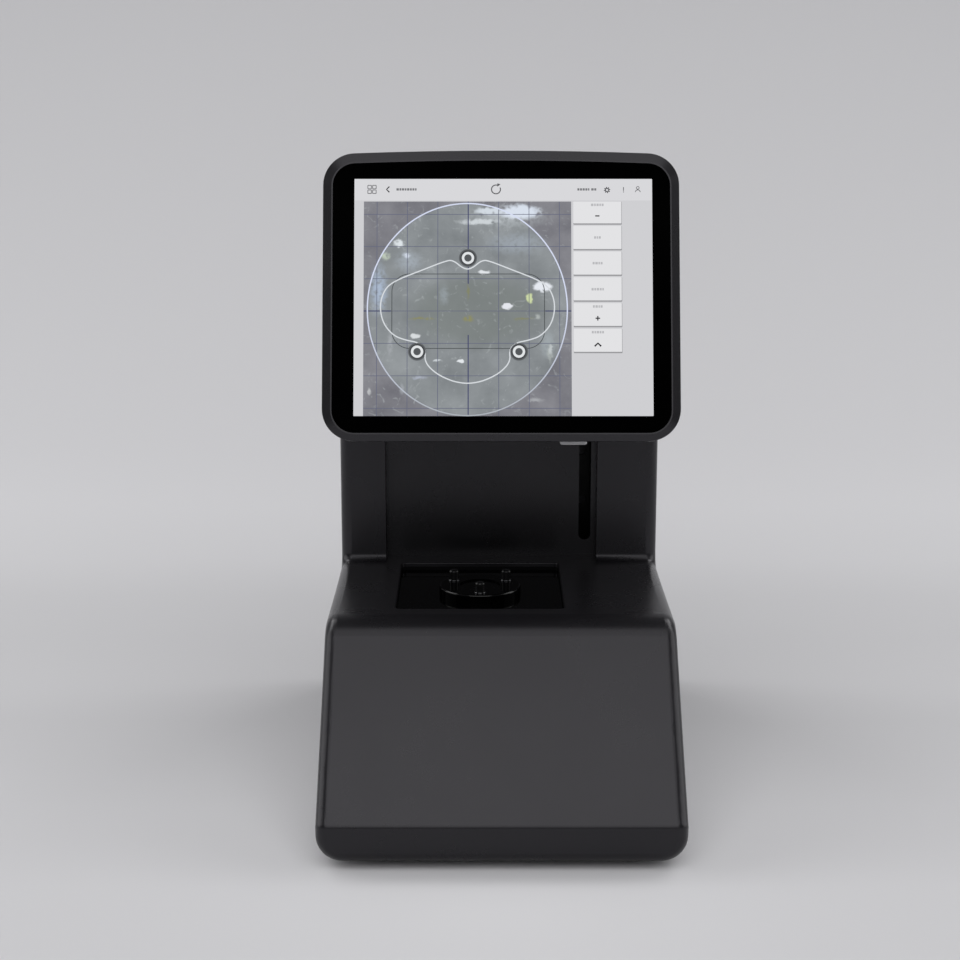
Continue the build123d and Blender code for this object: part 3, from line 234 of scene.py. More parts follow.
def start_effect(name, inputs, outputs):
    """A node group with float or vector sockets, given as {name: default}."""
    kinds = {float: "NodeSocketFloat", tuple: "NodeSocketVector"}
    tree = bpy.data.node_groups.new(name, "ShaderNodeTree")
    for key, value in inputs.items():
        socket = tree.interface.new_socket(key, in_out="INPUT", socket_type=kinds[type(value)])
        socket.default_value = value
    for key, value in outputs.items():
        tree.interface.new_socket(key, in_out="OUTPUT", socket_type=kinds[type(value)])
    print("shared effect", name)
    return tree, tree.nodes.new("NodeGroupInput").outputs, tree.nodes.new("NodeGroupOutput")


def place(tree, effect, inputs):
    """A shared effect, by its name, put into a material with its own values."""
    node = tree.nodes.new("ShaderNodeGroup")
    node.node_tree = bpy.data.node_groups[effect]
    return fill(tree, node, inputs)


def shown(red, green, blue):
    """The linear colour that a screen shows as these steps from 0 to 255."""
    share = np.array([red, green, blue]) / 255
    linear = np.where(share <= 0.04045, share / 12.92, ((share + 0.055) / 1.055) ** 2.4)
    return (*[float(v) for v in linear], 1.0)


# %% [markdown]
# The paper's grading, which is painted light and shade, is a colour ramp along the length of the sheet. The
# Light Path node tells which rays see it.

# %% Paper
paper_tint = (1.0, 0.996, 1.018)
plain_tone = 0.55
# painted light and shade along the paper: lighter around the unit's front and where the floor turns up,
# darker in a band beside and behind the unit for its spread shadow
paper_light_and_shade = {0.5: 0.72, 0.62: 0.727, 0.645: 0.77, 0.683: 0.765, 0.727: 0.672, 0.783: 0.638,
               0.816: 0.645, 0.855: 0.705, 0.918: 0.752, 1.0: 0.762, 1.119: 0.753, 1.285: 0.743,
               1.419: 0.732, 1.58: 0.715, 1.7: 0.69}

paper, tree, shader = start_material("studio_paper", roughness=0.9, specular=0.1)
position = add(tree, "Attribute", attribute_name="along_paper").outputs["Fac"]
grading = add(tree, "ValToRGB", {"Fac": maths(tree, "DIVIDE", position, paper_length)})
ramp = grading.color_ramp.elements
for _ in range(len(paper_light_and_shade) - len(ramp)):
    ramp.new(0.5)
for stop, (t, tone) in zip(ramp, sorted(paper_light_and_shade.items())):
    stop.position = t / paper_length
    stop.color = (*[tone * tint for tint in paper_tint], 1)
rays = add(tree, "LightPath")
seen = maths(tree, "MAXIMUM", rays.outputs["Is Camera Ray"], rays.outputs["Is Glossy Ray"])
seen = maths(tree, "MAXIMUM", seen, rays.outputs["Is Transmission Ray"])
plain = (*[plain_tone * tint for tint in paper_tint], 1)
fill(tree, shader, {"Base Color": blend(tree, seen, plain, grading.outputs["Color"])})
sweep.data.materials.append(paper)
print("paper graded in", len(paper_light_and_shade), "steps")

# %% [markdown]
# ## The light
#
# A little light from all round and seven large soft panels. The two high ones in front are mirrored
# softly by the sloped front, while the level deck mirrors only the dark column, so the slope is
# lighter. The low one reaches under the screen, and one at each side draws a thin line along the
# rounded edges. The two behind light the paper, and lay the soft shadow in front of the foot.

# %% World and lamps
ambient_colour = (0.15, 0.15, 0.156, 1)
ambient_strength = 1.0
lamp_aim = Vector((0.0, 0.0, 0.2))
# end of the name, place, width, height, power
soft_panels = (
    ("above", (0.0, -0.8, 2.25), 2.4, 1.4, 10.0),
    ("front", (0.0, -1.7, 1.9), 2.4, 1.2, 10.5),
    ("low", (0.0, -2.2, 1.1), 2.4, 1.0, 7.0),
    ("left", (-2.0, 0.1, 0.9), 1.6, 1.6, 11.0),
    ("right", (2.0, 0.1, 0.9), 1.6, 1.6, 10.0),
    ("back_left", (-1.6, 1.2, 2.2), 1.6, 1.2, 16.0),
    ("back_right", (1.6, 1.2, 2.2), 1.6, 1.2, 16.0),
)

world = bpy.data.worlds.new("studio")
scene.world = world
world.use_nodes = True
fill(world.node_tree, world.node_tree.nodes["Background"],
     {"Color": ambient_colour, "Strength": ambient_strength})
scene.view_settings.view_transform = "Standard"
for name, stand, width, height, power in soft_panels:
    lamp = bpy.data.lights.new("panel_" + name, "AREA")
    lamp.shape = "RECTANGLE"
    lamp.size, lamp.size_y, lamp.energy = width, height, power
    lamp_object = bpy.data.objects.new(lamp.name, lamp)
    lamp_object.location = stand
    lamp_object.rotation_euler = (lamp_aim - Vector(stand)).to_track_quat("-Z", "Y").to_euler()
    scene.collection.objects.link(lamp_object)
print("lamps", [light.name for light in bpy.data.lights])

# %% [markdown]
# ## Shared effects
#
# Four effects return on many pieces. The moulded grain is the fine pebble of a plastic housing.
# The uneven gloss is the slow change in polish that every real surface has. The drawn lines are
# what a brush, a lathe or a drawing die leaves on metal, and the speckle is the orange peel of a
# powder coat. All four read Object coordinates, so they keep their real size in millimetres.

# %% Moulded grain
pore_share = 0.6


def millimetres(tree, size):
    """Object coordinates divided by a size in millimetres."""
    position = add(tree, "TexCoord").outputs["Object"]
    return vectors(tree, "SCALE", position, maths(tree, "DIVIDE", metre, size))


tree, inside, outside = start_effect(
    "moulded_grain", {"Grain size": 0.5, "Patch size": 30.0}, {"Height": 0.0, "Patches": 0.0})
grains = millimetres(tree, inside["Grain size"])
cells = add(tree, "TexVoronoi", {"Vector": grains, "Scale": 1.0})
pores = noise(tree, grains, scale=0.6, detail=2.0)
pebbles = maths(tree, "MULTIPLY_ADD", pores, pore_share, cells.outputs["Distance"])
patches = noise(tree, millimetres(tree, inside["Patch size"]), scale=1.0, detail=3.0)
fill(tree, outside, {"Height": pebbles, "Patches": patches})

# %% Uneven gloss
tree, inside, outside = start_effect(
    "uneven_gloss", {"Patch size": 40.0, "Low": 0.3, "High": 0.5}, {"Roughness": 0.0})
cloud = noise(tree, millimetres(tree, inside["Patch size"]), scale=1.0, detail=5.0, roughness=0.6)
fill(tree, outside, {"Roughness": remap(tree, cloud, 0.3, 0.7, inside["Low"], inside["High"])})

# %% Drawn lines
tree, inside, outside = start_effect(
    "drawn_lines", {"Pitch": 0.3, "Squeeze": (1.0, 1.0, 1.0)}, {"Height": 0.0, "Tone": 0.0})
stretched = vectors(tree, "MULTIPLY", millimetres(tree, inside["Pitch"]), inside["Squeeze"])
scores = noise(tree, stretched, scale=1.0, detail=3.0, roughness=0.7)
fill(tree, outside, {"Height": scores, "Tone": scores})

# %% Powder speckle
tree, inside, outside = start_effect("powder_speckle", {"Size": 0.8}, {"Height": 0.0, "Specks": 0.0})
drops = millimetres(tree, inside["Size"])
peel = noise(tree, drops, scale=1.0, detail=1.0)
specks = noise(tree, drops, scale=3.1, detail=4.0)
fill(tree, outside, {"Height": peel, "Specks": specks})

# %% [markdown]
# ## Finishes
#
# One function per family of finish, each called with the values of its pieces. Every family mixes
# two close tones over the surface, lets its roughness drift, and carries a small bump.

# %% Families of finish
violet_sheen = (0.96, 0.94, 1.0, 1)


def bump(tree, shader, height, strength, depth):
    """Feeds a height map to the shader's normal: depth is in millimetres."""
    node = add(tree, "Bump", {"Height": height, "Strength": strength, "Distance": depth / metre})
    fill(tree, shader, {"Normal": node.outputs["Normal"]})


def two_tones(tree, shader, share, colour, spread):
    """Base colour between a darker and a lighter tone of one colour."""
    darker = (*[v * (1 - spread) for v in colour], 1)
    lighter = (*[v * (1 + spread) for v in colour], 1)
    fill(tree, shader, {"Base Color": blend(tree, share, darker, lighter)})


def drift(tree, shader, patch, low, high):
    """Roughness that drifts between two values, in patches of a size in millimetres."""
    gloss = place(tree, "uneven_gloss", {"Patch size": patch, "Low": low, "High": high})
    fill(tree, shader, {"Roughness": gloss.outputs["Roughness"]})


def moulded(name, colour, roughness, specular, grain=0.45, patch=45.0):
    """Satin plastic out of a grained mould."""
    material, tree, shader = start_material(name, colour, roughness, specular=specular)
    texture = place(tree, "moulded_grain", {"Grain size": grain, "Patch size": patch})
    two_tones(tree, shader, texture.outputs["Patches"], colour, spread=0.1)
    drift(tree, shader, patch * 1.6, roughness - 0.02, roughness + 0.02)
    bump(tree, shader, texture.outputs["Height"], strength=0.12, depth=0.006)
    fill(tree, shader, {"Specular Tint": violet_sheen})
    return material


def polished(name, colour, roughness, specular, patch=25.0):
    """Polished black glass or lacquer with faint wiping marks."""
    material, tree, shader = start_material(name, colour, roughness, specular=specular)
    wiped = place(tree, "drawn_lines", {"Pitch": 6.0, "Squeeze": (0.25, 1.6, 1.6)})
    two_tones(tree, shader, wiped.outputs["Tone"], colour, spread=0.2)
    drift(tree, shader, patch, roughness * 0.7, roughness * 1.5)
    bump(tree, shader, wiped.outputs["Height"], strength=0.05, depth=0.02)
    return material


def coated(name, colour, roughness, size=0.8, depth=0.03, specular=0.4):
    """Powder coat or paint on metal."""
    material, tree, shader = start_material(name, colour, roughness, specular=specular)
    powder = place(tree, "powder_speckle", {"Size": size})
    two_tones(tree, shader, powder.outputs["Specks"], colour, spread=0.25)
    drift(tree, shader, 30.0, roughness - 0.05, roughness + 0.06)
    bump(tree, shader, powder.outputs["Height"], strength=0.5, depth=depth)
    return material


def metal(name, colour, roughness, squeeze, pitch=0.25):
    """Bare or anodised metal: squeeze is 1 across the tool marks and near 0 along them."""
    material, tree, shader = start_material(name, colour, roughness, metallic=1.0)
    marks = place(tree, "drawn_lines", {"Pitch": pitch, "Squeeze": squeeze})
    two_tones(tree, shader, marks.outputs["Tone"], colour, spread=0.18)
    drift(tree, shader, 18.0, roughness * 0.8, roughness * 1.3)
    bump(tree, shader, marks.outputs["Height"], strength=0.4, depth=0.01)
    return material


def rubber(name, colour, roughness):
    """Rubber: matt, with a coarse grain and paler specks of chalk."""
    material, tree, shader = start_material(name, colour, roughness, specular=0.3)
    texture = place(tree, "moulded_grain", {"Grain size": 0.8, "Patch size": 12.0})
    chalk = place(tree, "powder_speckle", {"Size": 2.0})
    two_tones(tree, shader, chalk.outputs["Specks"], colour, spread=0.3)
    drift(tree, shader, 9.0, roughness - 0.08, roughness + 0.08)
    bump(tree, shader, texture.outputs["Height"], strength=0.5, depth=0.03)
    return material


# %% [markdown]
# A tool leaves its marks along its own path. A ground shaft or a turned rod has rings around its
# length, so the pattern changes quickly along the rod and hardly across it. A milled plate has
# lines along one side.

# %% Plain pieces by slot
around_upright = (0.02, 0.02, 1.0)
along_width = (0.03, 1.0, 1.0)
finishes = {
    "housing_plastic": moulded("grained_housing", (0.009, 0.0086, 0.01), 0.28, 0.42),
    "panel_plastic": moulded("grained_column_panel", (0.0066, 0.0065, 0.0072), 0.27, 0.38),
    "monitor_plastic": moulded("grained_screen_frame", (0.0086, 0.0083, 0.0095), 0.27, 0.5, grain=0.35),
    "inner_plastic": moulded("inner_moulding", (0.012, 0.012, 0.0125), 0.5, 0.35, grain=0.7, patch=20.0),
    "screen_glass": polished("black_screen_glass", (0.0001, 0.0001, 0.0001), 0.07, 0.004),
    "stage_glass": polished("dark_stage_glass", (0.0006, 0.0006, 0.0007), 0.06, 0.05),
    "stage_metal": polished("lacquered_rest", (0.0006, 0.0006, 0.0007), 0.06, 0.03, patch=8.0),
    "pin_metal": metal("black_chrome_pins", (0.1, 0.1, 0.105), 0.16, around_upright),
    "pin_rubber": rubber("pin_tip_rubber", (0.005, 0.005, 0.0053), 0.22),
    "foot_rubber": rubber("foot_rubber", (0.015, 0.015, 0.015), 0.8),
    "sheet_steel": coated("powder_coated_sheet", (0.035, 0.035, 0.037), 0.55),
    "screw_steel": metal("black_oxide_screws", (0.05, 0.05, 0.052), 0.4, around_upright, pitch=0.15),
    "bright_steel": metal("ground_shafts", (0.6, 0.6, 0.61), 0.22, around_upright),
    "blackened_steel": coated("blackened_rail", (0.006, 0.006, 0.0063), 0.4, size=0.3, depth=0.008,
                              specular=0.3),
    "machined_aluminium": metal("dark_anodised_plates", (0.09, 0.09, 0.094), 0.34, along_width),
    "motor_black": coated("enamelled_motor", (0.012, 0.012, 0.012), 0.42, size=1.2),
    "bearing_brass": metal("turned_brass", (0.7, 0.52, 0.25), 0.25, around_upright),
    "pale_chuck": moulded("pale_chuck", (0.62, 0.62, 0.63), 0.32, 0.4, grain=0.6, patch=8.0),
    "spring_steel": metal("drawn_spring_wire", (0.55, 0.55, 0.56), 0.25, around_upright, pitch=0.2),
    "milk_diffuser": moulded("milky_diffuser", (0.75, 0.75, 0.76), 0.35, 0.5, grain=1.2, patch=15.0),
    "port_steel": metal("plated_port_shells", (0.55, 0.55, 0.57), 0.2, along_width, pitch=0.5),
}
print(len(finishes), "plain finishes")

# %% [markdown]
# ## Boards, the clear window and the display's cell
#
# A circuit board is a green lacquer over copper tracks. The tracks are a brick pattern, slightly
# raised, and above the board's face the parts are dark. Each board lies its own way, so the height
# is measured along a direction, from a level where the board's face is.

# %% Circuit boards
part_rise = 0.05
lacquer_green = (0.012, 0.075, 0.03, 1)
track_green = (0.03, 0.13, 0.055, 1)
dark_parts = (0.012, 0.012, 0.013, 1)

tree, inside, outside = start_effect(
    "copper_tracks", {"Pitch": 2.6, "Facing": (0.0, 0.0, 1.0), "Level": 19.0},
    {"Tracks": 0.0, "Parts": 0.0, "Height": 0.0})
rise = vectors(tree, "DOT_PRODUCT", millimetres(tree, 1.0), inside["Facing"])
over = maths(tree, "SUBTRACT", rise, inside["Level"])
parts_mask = maths(tree, "GREATER_THAN", over, part_rise)
bricks = add(tree, "TexBrick", {
    "Vector": millimetres(tree, inside["Pitch"]), "Scale": 0.35,
    "Mortar Size": 0.045, "Mortar Smooth": 0.2, "Brick Width": 1.9, "Row Height": 0.4})
bare = maths(tree, "SUBTRACT", 1.0, parts_mask)
tracks = maths(tree, "MULTIPLY", bricks.outputs["Fac"], bare)
fill(tree, outside, {"Tracks": tracks, "Parts": parts_mask,
                     "Height": maths(tree, "ADD", tracks, parts_mask)})


def circuit(name, facing, level, parts=dark_parts):
    """Green lacquer over tracks, with parts of another colour above the board's face."""
    material, tree, shader = start_material(name, roughness=0.3)
    copper = place(tree, "copper_tracks", {"Facing": facing, "Level": level})
    board = blend(tree, copper.outputs["Tracks"], lacquer_green, track_green)
    fill(tree, shader, {"Base Color": blend(tree, copper.outputs["Parts"], board, parts)})
    drift(tree, shader, 12.0, 0.25, 0.4)
    bump(tree, shader, copper.outputs["Height"], strength=0.3, depth=0.05)
    return material


screen_lean = radians(17.4)
behind_screen = (0.0, cos(screen_lean), -sin(screen_lean))
upwards = (0.0, 0.0, 1.0)
downwards = (0.0, 0.0, -1.0)
low_board_top = 19.0
port_board_top = 32.0
light_board_top = 125.0
ring_parts_height = 0.6
display_board_depth = 4.0
ring_parts_face = -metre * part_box("ring_light")[0][2]
display_board_front = metre * float(np.dot(behind_screen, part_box("display_board")[0]))
warm_light = (0.75, 0.68, 0.42, 1)
board_finishes = {
    "main_board": circuit("main_board_lacquer", upwards, low_board_top),
    "power_supply": circuit("power_supply_lacquer", upwards, low_board_top),
    "io_board": circuit("port_board_lacquer", upwards, port_board_top),
    "stage_light_board": circuit("light_board_lacquer", upwards, light_board_top, warm_light),
    "ring_light": circuit("ring_light_lacquer", downwards, ring_parts_face - ring_parts_height, warm_light),
    "display_board": circuit("display_board_lacquer", behind_screen,
                             display_board_front + display_board_depth),
}
print(len(board_finishes), "board finishes")

# %% Clear window and display cell
clear, tree, shader = start_material("clear_window", (0.92, 0.95, 0.96), 0.03)
fill(tree, shader, {"Transmission Weight": 1.0})
drift(tree, shader, 14.0, 0.015, 0.08)
finishes["clear_window"] = clear

cell_tone = (0.05, 0.05, 0.055)
cell, tree, shader = start_material("display_cell", cell_tone, 0.2)
foil = place(tree, "drawn_lines", {"Pitch": 0.6, "Squeeze": along_width})
two_tones(tree, shader, foil.outputs["Tone"], cell_tone, spread=0.3)
bump(tree, shader, foil.outputs["Height"], strength=0.2, depth=0.01)
finishes["screen_cell"] = cell
print("clear window, display cell")

# %% [markdown]
# The lacquer of the lens rest is thicker on its rounded rim, so it carries a clear coat where a
# point is both far from the rest's axis and near its top.

# %% Rim of the lens rest
rest_low, rest_high = np.array(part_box("lens_rest"))
rest_middle = (rest_low + rest_high) / 2
rest_radius, _, rest_half_height = (rest_high - rest_low) / 2
rim_depth = 0.0012
rim_coat = 0.6

tree = finishes["stage_metal"].node_tree
shader = tree.nodes["Principled BSDF"]
from_middle = vectors(tree, "SUBTRACT", add(tree, "TexCoord").outputs["Object"], tuple(rest_middle))
x, y, z = add(tree, "SeparateXYZ", {0: from_middle}).outputs
from_axis = maths(tree, "SQRT", maths(tree, "MULTIPLY_ADD", y, y, maths(tree, "MULTIPLY", x, x)))
near_edge = maths(tree, "GREATER_THAN", from_axis, rest_radius - rim_depth)
near_top = maths(tree, "GREATER_THAN", z, rest_half_height - rim_depth)
rim_mask = maths(tree, "MULTIPLY", near_edge, near_top)
fill(tree, shader, {"Coat Weight": maths(tree, "MULTIPLY", rim_mask, rim_coat)})
print("rest rim coated outside", round(metre * (rest_radius - rim_depth), 2), "mm")

# %% [markdown]
# Most nodes wear the finish of their slot. The boards and the well under the stage have one each.

# %% Finish of every node
node_finishes = {
    **board_finishes,
    "stage_frame": moulded("stage_well", (0.003, 0.003, 0.0032), 0.5, 0.1, grain=0.7, patch=20.0),
}
for row in record["subparts"]:
    own = node_finishes.get(row["node"])
    for slot in nodes[row["node"]].material_slots:
        slot.material = own or finishes[row["material_slot"]]
print(len(record["subparts"]), "nodes dressed,", len(node_finishes), "of them apart")

# %% [markdown]
# ## The spring of the chuck
#
# The block chuck gives upwards against a coil spring in the arm's barrel. A rigid node can't get shorter as a
# pressed spring does. This piece stands for that node, which is hidden, and rides on the arm. Its wire
# follows a helix over the node's whole length, and nothing here squashes it.

# %% Chuck spring
spring_turns = 4.0
wire_radius = 0.00055
spring_low, spring_high = np.array(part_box("chuck_spring"))


def coil_wire(low, high, turns, wire, around=12, along=40):
    """A wire round a helix: middle + R (cos a, sin a) and z rising with a, with a round section."""
    middle = (low + high) / 2
    reach = (high[0] - low[0]) / 2 - wire
    angle = np.linspace(0, 2 * pi * turns, int(along * turns) + 1)[:, None]
    section = np.linspace(0, 2 * pi, around, endpoint=False)[None, :]
    radius = reach + wire * np.cos(section)
    rise = low[2] + wire + (high[2] - low[2] - 2 * wire) * angle / angle[-1]
    points = np.stack([middle[0] + radius * np.cos(angle), middle[1] + radius * np.sin(angle),
                       rise + wire * np.sin(section)], axis=-1)
    loops = np.arange(points.shape[0] * around).reshape(-1, around)
    faces = [loops[0].tolist(), loops[-1][::-1].tolist()]
    for first, second in zip(loops[:-1], loops[1:]):
        faces += band(second, first)
    return points, faces


coil_points, coil_faces = coil_wire(spring_low, spring_high, spring_turns, wire_radius)
spring = mesh_object("spring_coil", coil_points, coil_faces, smooth=True)
spring.data.materials.append(finishes["spring_steel"])
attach(spring, "arm")
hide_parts("chuck_spring")
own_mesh(spring)

# %% [markdown]
# ## What the screen shows
#
# The screen is a touch panel behind black glass. What it shows is made here as thin closed plates
# that lie on the glass, each a few hundredths of a millimetre thick. They give light of their own,
# as a display does, and hardly reflect. Their edges stay sharp from every side, and each button or
# line can be changed by its own numbers.
#
# Places on the screen are (u, s) in millimetres: u to the right from the unit's middle, and s up
# along the screen from a line close to the lower edge of its frame. Levels are in millimetres too,
# and each kind of plate fills the room from one level to the next.

# %% The screen's plane
screen_origin = np.array([0.0, -0.1047, 0.2602])
screen_right = np.array([1.0, 0.0, 0.0])
screen_up = np.array([0.0, sin(screen_lean), cos(screen_lean)])
screen_out = np.array([0.0, -cos(screen_lean), sin(screen_lean)])
glass_level, page_level, area_level, shape_level, sign_level = -0.4, -0.36, -0.32, -0.28, -0.24
on_glass = (glass_level, page_level)
on_page = (page_level, area_level)
on_picture = (area_level, shape_level)
on_button = (shape_level, sign_level)
print("screen leans from", screen_origin)


def on_screen(flat, level):
    """Points of the leaning plane: origin + u right + s up + level out, from millimetres to metres."""
    out = flat[:, :1] * screen_right + flat[:, 1:] * screen_up + level * screen_out
    return screen_origin + out / metre


def plate(outline, low, high):
    """Points and faces of a closed plate: the outline at two levels, walled round and capped."""
    count = len(outline)
    bottom, top = np.arange(count), np.arange(count) + count
    faces = [bottom[::-1].tolist(), top.tolist()] + band(bottom, top)
    return np.vstack([on_screen(outline, low), on_screen(outline, high)]), faces


def ring(outer, inner, low, high):
    """Points and faces of a closed flat ring between two outlines with as many points."""
    count = len(outer)
    a, b, c, d = [np.arange(count) + count * i for i in range(4)]
    faces = band(a, b) + band(b, c) + band(c, d) + band(d, a)
    levels = ((outer, low), (outer, high), (inner, high), (inner, low))
    return np.vstack([on_screen(loop, level) for loop, level in levels]), faces


def screen_piece(name, shapes, material):
    """One mesh, screen_ and the name, of several plates and rings. It rides on the unit."""
    points, faces, start = [], [], 0
    for some_points, some_faces in shapes:
        points.append(some_points)
        faces += [[start + corner for corner in face] for face in some_faces]
        start += len(some_points)
    piece = mesh_object("screen_" + name, np.vstack(points), faces)
    piece.data.materials.append(material)
    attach(piece, "unit")
    print(piece.name, len(faces), "faces")


# %% Outlines
def arc(u, s, half_width, half_height, angle):
    """Points round (u, s): u + the width by the cosine of the angle, s + the height by its sine."""
    return np.stack([u + half_width * np.cos(angle), s + half_height * np.sin(angle)], axis=1)


def oval(u, s, half_width, half_height=None, steps=48):
    """A whole ellipse round (u, s), or a circle."""
    return arc(u, s, half_width, half_height or half_width, np.linspace(0, 2 * pi, steps, endpoint=False))


def rounded(left, right, low, high, radius, steps):
    """A rectangle whose corners are quarter circles, counter-clockwise from the lower right one."""
    turn = np.linspace(0, pi / 2, steps)
    corners = ((right, low, -pi / 2), (right, high, 0), (left, high, pi / 2), (left, low, pi))
    loops = []
    for u, s, start in corners:
        middle_u = u - radius if u == right else u + radius
        middle_s = s + radius if s == low else s - radius
        loops.append(arc(middle_u, middle_s, radius, radius, start + turn))
    return np.vstack(loops)


def centred(u, s, width, height, radius, steps):
    """A rounded rectangle round (u, s)."""
    return rounded(u - width / 2, u + width / 2, s - height / 2, s + height / 2, radius, steps)


def smoothed(points, rounds=3):
    """A closed line with cut corners: each round puts points at 1/4 and 3/4 of every side."""
    line = np.asarray(points, float)
    for _ in range(rounds):
        ahead = np.roll(line, -1, axis=0)
        line = np.stack([0.75 * line + 0.25 * ahead, 0.25 * line + 0.75 * ahead], axis=1).reshape(-1, 2)
    return line


def both_sides(line, width, closed=True):
    """The lines half a width to the right and left of a line, square to its direction."""
    ahead = np.roll(line, -1, axis=0) - np.roll(line, 1, axis=0)
    if not closed:
        ahead[0], ahead[-1] = line[1] - line[0], line[-1] - line[-2]
    ahead /= np.linalg.norm(ahead, axis=1)[:, None]
    aside = np.stack([ahead[:, 1], -ahead[:, 0]], axis=1) * width / 2
    return line + aside, line - aside


def drawn_line(line, width, low, high):
    """A closed line as a flat ring."""
    return ring(*both_sides(line, width), low, high)


def stroke(points, width, low, high):
    """An open line as a plate, from one side and back along the other."""
    right_side, left_side = both_sides(np.asarray(points, float), width, closed=False)
    return plate(np.vstack([right_side, left_side[::-1]]), low, high)


def around(u, s, *points):
    """Points given from a middle (u, s)."""
    return np.array(points) + (u, s)


# %% [markdown]
# A display's colour is light, so each screen material has a black base and an emission colour. The
# fine rows of dots that every panel has are kept, as a change of a few percent in the light.

# %% Light of the display
wave_scale = 0.314
wave_mean = 0.25

tree, inside, outside = start_effect("display_dots", {"Pitch": 0.25, "Depth": 0.05}, {"Light": 1.0})
dot_place = millimetres(tree, inside["Pitch"])
waves = [add(tree, "TexWave", {"Vector": dot_place, "Scale": wave_scale, "Detail": 0.0},
             wave_type="BANDS", bands_direction=axis).outputs["Fac"] for axis in "ZX"]
ripple = maths(tree, "SUBTRACT", maths(tree, "MULTIPLY", *waves), wave_mean)
ripple = maths(tree, "MULTIPLY", ripple, inside["Depth"])
fill(tree, outside, {"Light": maths(tree, "ADD", 1.0, ripple)})


def lit(name, colour, depth=0.05):
    """A display colour: (red, green, blue) steps from 0 to 255, or a function that builds nodes."""
    material, tree, shader = start_material("display_" + name, roughness=0.25, specular=0.06)
    base = colour(tree) if callable(colour) else shown(*colour)[:3]
    dots = place(tree, "display_dots", {"Depth": depth})
    light = vectors(tree, "SCALE", base, dots.outputs["Light"])
    fill(tree, shader, {"Emission Color": light, "Emission Strength": 1.0})
    return material


page_grey = lit("page", (206, 206, 209))
bar_grey = lit("bar", (215, 215, 218))
button_white = lit("button", (226, 226, 228))
shadow_grey = lit("shadow", (150, 150, 153))
label_grey = lit("label", (184, 184, 187))
ink_grey = lit("ink", (88, 88, 91))
ink_black = lit("dark_ink", (42, 42, 45))
print("seven plain display colours")

# %% [markdown]
# The camera picture on the screen is a hazy blue-grey view of a lens blank. Its haze is a cloud
# noise. The lens tints what lies inside its rim, and lamps leave soft glints on it. A glint is one
# effect, placed many times: the distance from a middle, measured in its own half width and half
# height, fades to nothing at the edge.

# %% Soft spots
tree, inside, outside = start_effect(
    "soft_spot", {"Place": (0.0, 0.0, 0.0), "Middle": (0.0, 0.0, 0.0), "Half size": (1.0, 1.0, 1.0),
                  "Softness": 0.5}, {"Mask": 0.0})
away = vectors(tree, "SUBTRACT", inside["Place"], inside["Middle"])
away = vectors(tree, "DIVIDE", away, inside["Half size"])
fade_start = maths(tree, "SUBTRACT", 1.0, inside["Softness"])
fade = remap(tree, vectors(tree, "LENGTH", away), fade_start, 1.0, 1.0, 0.0, interpolation_type="SMOOTHSTEP")
fill(tree, outside, {"Mask": fade})

blank_middle = (-22.0, 84.9)
blank_half = (64.8, 69.4)
core_middle = (-16.0, 84.0)
core_half = (56.0, 30.0)
core_share = 0.75
glint_wander = 3.5
noise_mean = (0.5, 0.5, 0.5)
# middle (u, s), half size (u, s), softness, colour
glints = (
    (-79.5, 98.0, 8.0, 22.0, 0.9, 170, 184, 204),
    (-37.0, 94.0, 4.5, 10.0, 0.9, 146, 154, 158),
    (10.0, 128.0, 26.0, 10.0, 0.9, 154, 162, 170),
    (30.0, 62.0, 7.0, 13.0, 0.9, 158, 166, 170),
    (-60.0, 116.0, 12.0, 10.0, 0.9, 160, 168, 176),
    (4.0, 146.0, 34.0, 11.0, 0.95, 176, 182, 186),
    (-8.0, 149.5, 12.0, 3.6, 0.6, 210, 218, 226),
    (12.0, 148.8, 17.0, 6.2, 0.5, 216, 224, 236),
    (-13.8, 142.3, 18.0, 2.6, 0.6, 204, 210, 214),
    (-66.0, 128.0, 5.0, 3.1, 0.5, 222, 228, 232),
    (-61.7, 120.3, 3.2, 2.4, 0.8, 214, 222, 236),
    (-75.0, 119.4, 4.0, 3.6, 0.9, 196, 208, 190),
    (-11.2, 109.0, 5.0, 1.7, 0.5, 224, 228, 232),
    (27.0, 99.4, 7.6, 4.4, 0.4, 230, 234, 240),
    (4.0, 87.0, 4.6, 2.4, 0.4, 228, 230, 236),
    (18.3, 91.8, 2.8, 4.0, 0.4, 204, 216, 166),
    (-55.9, 67.3, 4.4, 2.0, 0.5, 216, 220, 222),
    (-26.2, 50.8, 3.2, 1.5, 0.4, 228, 232, 236),
    (-41.7, 51.2, 3.0, 1.1, 0.6, 200, 206, 210),
    (-53.0, 40.0, 7.0, 1.6, 0.9, 170, 176, 190),
    (31.5, 56.0, 2.2, 9.0, 0.9, 172, 178, 176),
    (-72.0, 62.0, 2.4, 11.0, 0.9, 164, 168, 172),
    (-64.0, 33.0, 2.0, 6.0, 0.9, 160, 164, 170),
    (-21.0, 79.0, 5.0, 3.4, 0.9, 144, 142, 86),
    (-52.0, 78.6, 13.0, 1.4, 0.9, 138, 138, 100),
    (14.0, 78.8, 9.0, 1.3, 0.9, 132, 134, 106),
    (-21.5, 96.0, 1.4, 8.0, 0.9, 130, 132, 104),
    (-85.5, 31.0, 1.4, 3.4, 0.7, 186, 188, 190),
    (22.0, 25.5, 7.0, 2.0, 0.9, 168, 170, 174),
    (32.0, 58.5, 1.6, 4.0, 0.7, 190, 196, 198),
    (23.5, 80.0, 2.2, 2.4, 0.8, 172, 178, 176),
)


def flat_place(tree):
    """Object coordinates turned to (u, s, 0) in millimetres on the screen's plane."""
    offset = vectors(tree, "SUBTRACT", add(tree, "TexCoord").outputs["Object"], tuple(screen_origin))
    offset = vectors(tree, "SCALE", offset, metre)
    u, s = [vectors(tree, "DOT_PRODUCT", offset, tuple(way)) for way in (screen_right, screen_up)]
    return add(tree, "CombineXYZ", {"X": u, "Y": s}).outputs[0]


